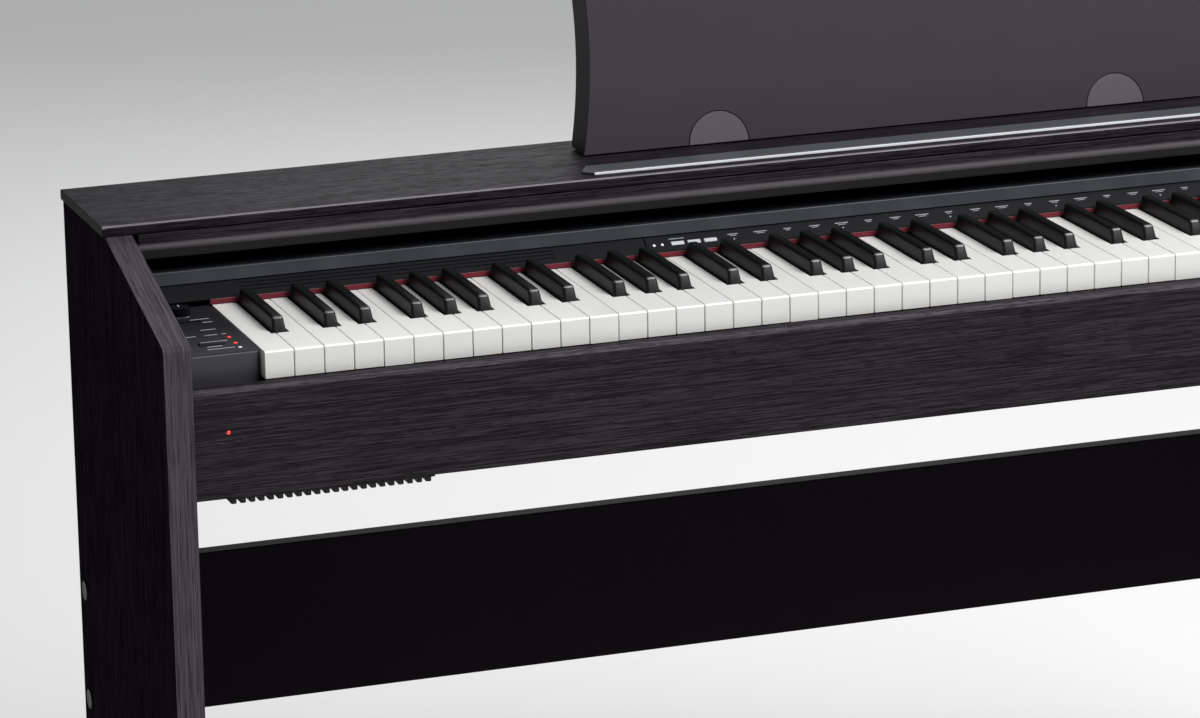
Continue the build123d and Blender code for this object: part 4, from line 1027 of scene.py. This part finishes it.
class PIANO_OT_console(bpy.types.Operator):
    """Make the console's fascia, its printed marks and its lamps"""

    bl_idname = "piano.console"
    bl_label = "Console"

    def execute(self, context):
        low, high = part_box("console_panel")
        foot_y, foot_z = low.y, high.z - CONSOLE_RISE
        finish_cad("console_smooth", "console_panel")
        finish_cad("strip", "console_strip")
        finish_cad("light_button", "piano_button", "organ_button", "tone_button")
        end = high.x - 0.5 * MM
        fascia = start_block("console_fascia", (LEFT_KEY + FASCIA_START, foot_y + 0.5 * MM, foot_z),
                             (end, foot_y + FACE_LENGTH - 0.6 * MM, foot_z + FASCIA_THICKNESS))
        middle = foot_y + FACE_LENGTH * CONTROL_SHARE
        under, over = foot_z - 1 * MM, foot_z + 2 * MM
        holes = []
        for index in range(BUTTON_COUNT):
            x = FIRST_BUTTON + index * BUTTON_SPACING
            holes.append(start_block("hole", (x - BUTTON_HALF.x, middle - BUTTON_HALF.y, under),
                                     (x + BUTTON_HALF.x, middle + BUTTON_HALF.y, over)))
        lenses = []
        for number, place in enumerate(LAMP_PLACES, 1):
            x = LEFT_KEY + place * MM
            holes.append(start_round("hole", LENS_RADIUS, (x, middle, under), (x, middle, over), 24))
            lens = start_round(f"console_lamp_{number}", LENS_RADIUS * 0.8, (x, middle, under),
                               (x, middle, foot_z + 0.7 * MM), 24)
            ease(lens, 0.4 * MM, 3)
            lenses.append(lens)
        cut(fascia, *holes)
        ease(fascia, 0.12 * MM, 1)
        marks = self.marks(end, middle, foot_z + FASCIA_THICKNESS)
        tilt([fascia, marks, *lenses], CONSOLE_SLOPE, foot_y, foot_z)
        dress(fascia, "cabinet", "console_plastic", "console_smooth")
        dress(marks, "cabinet", "light_button_plastic", "print")
        for lens in lenses:
            dress(lens, "cabinet", "indicator_lens", "white_lamp", replaces=["indicator_lenses"])
        return {"FINISHED"}

    def marks(self, end, middle, height):
        """Rows of plain printed bars: one over the buttons, and some for each white key beyond."""
        bars = [mark("console_marks", FIRST_BUTTON, middle + 4.6 * MM, height, 13 * MM, 0.6 * MM)]
        x = FIRST_BUTTON + BUTTON_COUNT * BUTTON_SPACING + 6 * MM
        number = 0
        while x < end - 12 * MM:
            number += 1
            length = (6.5 + 2.5 * (number % 3)) * MM
            for lift, share, width in KEY_MARKS:
                bars.append(mark("bar", x, middle + lift * MM, height, length * share, width * MM))
            if number % 4 == 1:
                bars.append(mark("dot", x, middle - 1.5 * MM, height, 1.2 * MM, 1.2 * MM))
            x += KEY_PITCH
        return join("console_marks", bars)


# ---- end blocks and their controls ----
# Places in mm from the left end and the front of the keys.
BLOCK_LAMP_X = -13
BLOCK_LAMPS = (("red_lamp", 51.0), ("red_lamp", 33.0), ("white_lamp", 20.0))
BLOCK_BARS = ((-27, 43, 21), (-27, 22, 21), (-30, 29.5, 12), (-20, 100, 15), (-20, 110, 15),
              (-24, 62, 10), (-14, 62, 4), (-40, 62, 8), (-22, 78, 12), (-30, 120, 10))
POWER_LAMP = Vector((-33.4, 0, -55.4)) * MM
NOTCH_TOP = 2.2 * MM


class PIANO_OT_end_blocks(bpy.types.Operator):
    """Make the end blocks, the volume knob, the lamps and the printed bars"""

    bl_idname = "piano.end_blocks"
    bl_label = "End blocks"

    def execute(self, context):
        self.block("end_block_left", False)
        self.block("end_block_right", True)
        finish_cad("console_smooth", "rhythm_button", "function_button", "power_button")
        self.knob()
        for number, (lamp, y) in enumerate(BLOCK_LAMPS, 1):
            foot = Vector((LEFT_KEY + BLOCK_LAMP_X * MM, KEY_FRONT + y * MM, KEY_TOP - 2 * MM))
            self.lamp(f"block_lamp_{number}", lamp, foot, (foot.x, foot.y, KEY_TOP + 0.5 * MM))
        slip_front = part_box("key_slip")[0].y
        foot = Vector((LEFT_KEY, slip_front + 2 * MM, KEY_TOP)) + POWER_LAMP
        self.lamp("power_lamp", "red_lamp", foot, (foot.x, slip_front - 0.4 * MM, foot.z))
        marks = join("block_marks", [mark("block_marks", LEFT_KEY + x * MM, KEY_FRONT + y * MM,
                                          KEY_TOP, length * MM, 1.5 * MM)
                                     for x, y, length in BLOCK_BARS])
        dress(marks, "cabinet", "light_button_plastic", "print")
        return {"FINISHED"}

    def block(self, name, mirrored):
        """One end block: textured on top, smooth in front, with a small notch at its foot."""
        low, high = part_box("end_blocks")
        inner = LEFT_KEY - 1.5 * MM
        block = start_block(name, low, (inner, high.y, high.z))
        notch = start_block("notch", (inner - 13 * MM, low.y - PAST, low.z - PAST),
                            (inner - 7 * MM, low.y + 4 * MM, low.z + NOTCH_TOP))
        with shaping(notch):
            pick_edges(notch, lambda m, d: abs(d.y) > 0.9 and near(m.z, low.z + NOTCH_TOP))
            round_edges(1.6 * MM, 3)
        cut(block, notch)
        with shaping(block):
            pick_edges(block, lambda m, d: near(m.y, low.y) and (near(m.z, high.z) or near(m.x, inner)))
            round_edges(2.6 * MM, 5)
        ease(block, 0.6 * MM, 2, 35)
        if mirrored:
            only(block)
            bpy.ops.transform.mirror(constraint_axis=(True, False, False), center_override=(0, 0, 0))
            settle(name)
            with shaping(block):
                face_outward()
        dress(block, "cabinet", "console_plastic", "console", "block_front", replaces=["end_blocks"])
        paint(block, lambda m, n: m.y < low.y + 0.5 * MM)

    def lamp(self, name, finish, foot, head):
        """One round lamp lens with a domed front."""
        lens = start_round(name, LENS_RADIUS, foot, head, 24)
        ease(lens, 0.45 * MM, 4)
        dress(lens, "cabinet", "indicator_lens", finish, replaces=["indicator_lenses"])

    def knob(self):
        """The volume knob: ribbed side, dished top and a light pointer."""
        low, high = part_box("volume_knob")
        x, y, _ = middle_of("volume_knob")
        radius = (high.x - low.x) / 2
        knob = start_round("volume_dial", radius, (x, y, KEY_TOP + 0.5 * MM), (x, y, high.z), 60)
        with shaping(knob):
            rib(knob, 30, 0.15 * MM, 0.35 * MM)
            pick_faces(knob, lambda m, n: n.z > 0.9)
            inset(1.2 * MM)
            inset(0.6 * MM, 0.4 * MM)
        ease(knob, 0.2 * MM, 2, 50)
        dress(knob, "volume_knob", "console_plastic", "console_smooth", replaces=["volume_knob"])
        pointer = start_block("volume_pointer", (x - 0.5 * MM, y + 2 * MM, high.z - 0.5 * MM),
                              (x + 0.5 * MM, y + radius - 1.4 * MM, high.z + 0.05 * MM))
        ease(pointer, 0.15 * MM)
        dress(pointer, "volume_knob", "light_button_plastic", "light_button")


# ---- music rest ----
REST_LOW, REST_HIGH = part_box("music_rest_front")
REST_MIDDLE = middle_of("music_rest_front")[0]
PLATE_PLACES = [REST_MIDDLE + side * PLATE_SPACING / 2 for side in (-1, 1)]
FOOT_Y, FOOT_Z = REST_LOW.y, REST_LOW.z
REST_LEVELS = 16
SILL = REST_RIM + 5 * MM       # height of the recess's lower edge


def rest_tabs(grow):
    """The two tabs under the music rest, or their slots when they grow."""
    behind = FOOT_Y + REST_DEPTH / 2
    tabs = []
    for number, x in enumerate(PLATE_PLACES, 1):
        half_x, half_y = TAB_HALF.x + grow, TAB_HALF.y + grow
        tabs.append(start_block(f"rest_tab_{number}",
                                (x - half_x, behind - half_y, FOOT_Z - TAB_DROP - grow * 20),
                                (x + half_x, behind + half_y, FOOT_Z + 1 * MM + grow * 20)))
    tilt(tabs, -REST_LEAN, FOOT_Y, FOOT_Z)
    return tabs


def side_curve(height):
    """How far the rest's sides curve in at a height above its foot."""
    chord = REST_HEIGHT / 2
    radius = (chord * chord + REST_WAIST * REST_WAIST) / (2 * REST_WAIST)
    reach = height - chord
    return sqrt(radius * radius - reach * reach) - (radius - REST_WAIST)


class PIANO_OT_music_rest(bpy.types.Operator):
    """Make the music rest, its bracket plates and its ledge"""

    bl_idname = "piano.music_rest"
    bl_label = "Music rest"

    def execute(self, context):
        self.shell()
        self.brackets()
        self.ledge()
        finish_cad("rest", "music_rest_back")
        return {"FINISHED"}

    def shell(self):
        """The moulded front: hollow-sided, recessed behind, cut flat at its foot."""
        half = (REST_HIGH.x - REST_LOW.x) / 2
        shell = start_block("music_rest_shell", REST_LOW.xyz,
                            (REST_HIGH.x, FOOT_Y + REST_DEPTH, FOOT_Z + REST_HEIGHT))
        heights = [REST_HEIGHT * level / REST_LEVELS for level in range(1, REST_LEVELS)]
        with shaping(shell):
            pick_faces(shell, lambda m, n: n.y > 0.9)
            inset(REST_RIM)
            draw_out(0, -REST_RECESS, 0)
            pick_points(shell, lambda p: near(p.z, FOOT_Z + REST_RIM))
            bpy.ops.transform.translate(value=(0, 0, SILL - REST_RIM))
            for height in heights:
                slice_at((0, 0, FOOT_Z + height), (0, 0, 1))
            for height in (*heights, SILL, REST_HEIGHT - REST_RIM):
                narrow(shell, (REST_MIDDLE, 0, 0), 1 - side_curve(height) / half,
                       lambda p: near(p.z, FOOT_Z + height))
        cut(shell, *(start_round("disc", PLATE_RADIUS + PLATE_GAP, (x, FOOT_Y - PAST, FOOT_Z),
                                 (x, FOOT_Y + 2.2 * MM, FOOT_Z), 64) for x in PLATE_PLACES))
        tilt([shell], -REST_LEAN, FOOT_Y, FOOT_Z)
        heel = FOOT_Y + REST_DEPTH * cos(radians(REST_LEAN))
        with shaping(shell):
            slice_at((0, 0, FOOT_Z), (0, 0, -1), clear=True)
            pick_edges(shell, lambda m, d: abs(d.x) > 0.9 and near(m.z, FOOT_Z)
                       and m.y > heel - 1 * MM)
            round_edges(REST_HEEL * 0.6, 5)
        ease(shell, 0.8 * MM, 3, 35)
        dress(shell, "music_rest", "rest_plastic", "rest", "rest_side",
              replaces=["music_rest_front"])
        # the sides take the darker second finish: painted shade
        paint(shell, lambda m, n: abs(n.x) > 0.5)

    def brackets(self):
        """The half-round plates in the rest's face, and the tabs below them."""
        pieces = []
        for number, x in enumerate(PLATE_PLACES, 1):
            plate = start_round(f"rest_plate_{number}", PLATE_RADIUS, (x, FOOT_Y, FOOT_Z),
                                (x, FOOT_Y + 2 * MM, FOOT_Z), 64)
            tilt([plate], -REST_LEAN, FOOT_Y, FOOT_Z)
            with shaping(plate):
                slice_at((0, 0, FOOT_Z), (0, 0, -1), clear=True)
            ease(plate, 0.25 * MM)
            pieces.append(plate)
        for tab in rest_tabs(0.0):
            ease(tab, 0.6 * MM)
            pieces.append(tab)
        for piece in pieces:
            dress(piece, "music_rest", "rest_bracket_plastic", "rest_plate",
                  replaces=["music_rest_brackets"])

    def ledge(self):
        """The low ledge with its pointed, bevelled ends."""
        low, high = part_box("music_ledge")
        point = 9 * MM
        tip = low.y - 2 * MM + point
        ledge = start_block("music_ledge_bar", (low.x + point, low.y, low.z),
                            (high.x - point, high.y, high.z))
        with shaping(ledge):
            for side in (-1, 1):
                pick_faces(ledge, lambda m, n: n.x * side > 0.9)
                draw_out(side * point, 0, 0)
                bpy.ops.transform.resize(value=(1, 0, 1), center_override=(0, tip, 0))
            face_outward(weld=True)
        ease(ledge, 0.8 * MM, 1, 30)
        dress(ledge, "cabinet", "black_plastic", "ledge", replaces=["music_ledge"])
        trim = eased_board("ledge_trim", "ledge_trim_bar", 0.45 * MM, 3,
                           "cabinet", "silver_trim", "trim", "ledge")
        # the trim's top takes the ledge colour, so only its front shows the light colour: partly the
        # trim's own, partly painted highlight
        paint(trim, lambda m, n: n.z > 0.9)


# ---- pedals, sockets and what is hidden ----
PEDALS = ("soft_pedal", "sostenuto_pedal", "damper_pedal")
PEDAL_STEPS = 14
WAIST_START = 34 * MM          # from a pedal's tip to where it starts to narrow
WAIST_LENGTH = 40 * MM
WAIST_SHARE = 0.38             # how much of its width it loses
HUB_RADIUS = 7 * MM
FOOT_HEIGHT = 8 * MM


class PIANO_OT_pedals(bpy.types.Operator):
    """Make the pedal housing, the three pedals and the height adjuster"""

    bl_idname = "piano.pedals"
    bl_label = "Pedals"

    def execute(self, context):
        self.housing()
        first = self.pedal()
        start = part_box(PEDALS[0])[0].x
        pedals = [first]
        for name in PEDALS[1:]:
            pedals.append(copy_piece(first, name + "_lever", (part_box(name)[0].x - start, 0, 0)))
        for name, piece in zip(PEDALS, pedals):
            dress(piece, name, "pedal_brass", "brass", replaces=[name])
        self.adjuster()
        finish_cad("steel", "pedal_pivot_rod")
        return {"FINISHED"}

    def housing(self):
        """The housing, rounded above the three slots."""
        low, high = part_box("pedal_box")
        housing = start_block("pedal_housing", low, high)
        for name in PEDALS:
            pedal_low, pedal_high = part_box(name)
            middle = middle_of(name)[2]
            cut(housing, start_block("slot", (pedal_low.x - 2 * MM, low.y - PAST, middle - 12 * MM),
                                     (pedal_high.x + 2 * MM, high.y - 3 * MM, middle + 5 * MM)))
        round_long(housing, low.y, high.z, 10 * MM, 8)
        ease(housing, 0.9 * MM, 2, 35)
        dress(housing, "cabinet", "black_plastic", "black_plastic", replaces=["pedal_box"])

    def pedal(self):
        """One pedal: a narrow stem that widens to a round foot plate."""
        low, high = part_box(PEDALS[0])
        middle_x, _, middle_z = middle_of(PEDALS[0])
        end = high.y - HUB_RADIUS
        plate = start_block(PEDALS[0] + "_lever", (low.x, low.y, middle_z - 2 * MM),
                            (high.x, end, middle_z + 2 * MM))
        places = [(end - low.y) * step / PEDAL_STEPS for step in range(PEDAL_STEPS + 1)]
        with shaping(plate):
            for place in places[1:-1]:
                slice_at((0, low.y + place, 0), (0, 1, 0))
            for place in places:
                waist = min(max((place - WAIST_START) / WAIST_LENGTH, 0), 1)
                share = 1 - WAIST_SHARE * waist * waist * (3 - 2 * waist)
                narrow(plate, (middle_x, 0, 0), share, lambda p: near(p.y, low.y + place))
            pick_edges(plate, lambda m, d: abs(d.z) > 0.9 and near(m.y, low.y))
            round_edges(11.4 * MM, 10)
        ease(plate, 1.5 * MM, 4, 50)
        hub = start_round("hub", HUB_RADIUS, (low.x, end, middle_z), (high.x, end, middle_z), 40)
        ease(hub, 0.8 * MM)
        return join(PEDALS[0] + "_lever", [plate, hub])

    def adjuster(self):
        """The height adjuster: a knurled foot under a plain stem."""
        low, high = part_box("pedal_adjuster")
        x, y, _ = middle_of("pedal_adjuster")
        foot = start_round("pedal_foot", (high.x - low.x) / 2, (x, y, low.z),
                           (x, y, low.z + FOOT_HEIGHT))
        with shaping(foot):
            rib(foot, 24, 0.4 * MM, 0.8 * MM)
            pick_faces(foot, lambda m, n: n.z > 0.9)
            inset(11 * MM)
            draw_out(0, 0, high.z - low.z - FOOT_HEIGHT)
        ease(foot, 0.5 * MM, 2, 50)
        dress(foot, "pedal_adjuster", "adjuster_rubber", "rubber", replaces=["pedal_adjuster"])


class PIANO_OT_sockets(bpy.types.Operator):
    """Make the metal rings of the sockets, and finish what is hidden"""

    bl_idname = "piano.sockets"
    bl_label = "Sockets"

    def execute(self, context):
        finish_cad("black_plastic", "headphone_and_power_sockets", "speakers")
        finish_cad("circuit", "main_circuit_board")
        for place in frame["record"]["mounts"]:
            if place["kind"] == "bore":
                self.ring(place["name"], Vector(place["pos_m"]), Vector(place["axis"]),
                          place["dims"]["r_mm"] * MM)
        return {"FINISHED"}

    def ring(self, name, mouth, axis, radius):
        """A thin bevelled ring round the mouth of a socket."""
        ring = start_round(name + "_ring", radius + 2.2 * MM, mouth - axis * 0.2 * MM,
                           mouth + axis * 0.9 * MM, 36)
        cut(ring, start_round("hole", radius, mouth - axis * 2 * MM, mouth + axis * 3 * MM, 36))
        ease(ring, 0.25 * MM)
        dress(ring, "cabinet", "steel", "steel")


# ---- add-on ----
MAKERS = (PIANO_OT_stage, PIANO_OT_keys, PIANO_OT_keyboard_frame, PIANO_OT_side_panels,
          PIANO_OT_boards, PIANO_OT_small_cabinet_parts, PIANO_OT_key_cover, PIANO_OT_console,
          PIANO_OT_end_blocks, PIANO_OT_music_rest, PIANO_OT_pedals, PIANO_OT_sockets)


class PIANO_PT_maker(bpy.types.Panel):
    """The piano's makers, in the order they are used"""

    bl_label = "Console Piano"
    bl_space_type = "VIEW_3D"
    bl_region_type = "UI"
    bl_category = "Piano"

    def draw(self, context):
        for maker in MAKERS:
            self.layout.operator(maker.bl_idname)


SETTINGS = (PianoColours, PianoSizes, PianoStage)


def register():
    """Register the settings, the makers and the panel."""
    for part in (*SETTINGS, *MAKERS, PIANO_PT_maker):
        bpy.utils.register_class(part)
    bpy.types.Scene.piano_colours = bpy.props.PointerProperty(type=PianoColours)
    bpy.types.Scene.piano_sizes = bpy.props.PointerProperty(type=PianoSizes)
    bpy.types.Scene.piano_stage = bpy.props.PointerProperty(type=PianoStage)


def unregister():
    """Take everything back out."""
    del bpy.types.Scene.piano_stage
    del bpy.types.Scene.piano_sizes
    del bpy.types.Scene.piano_colours
    for part in reversed((*SETTINGS, *MAKERS, PIANO_PT_maker)):
        bpy.utils.unregister_class(part)


def main():
    """Make every piece."""
    register()
    for maker in MAKERS:
        group, name = maker.bl_idname.split(".")
        getattr(getattr(bpy.ops, group), name)()


if __name__ == "__main__":
    main()
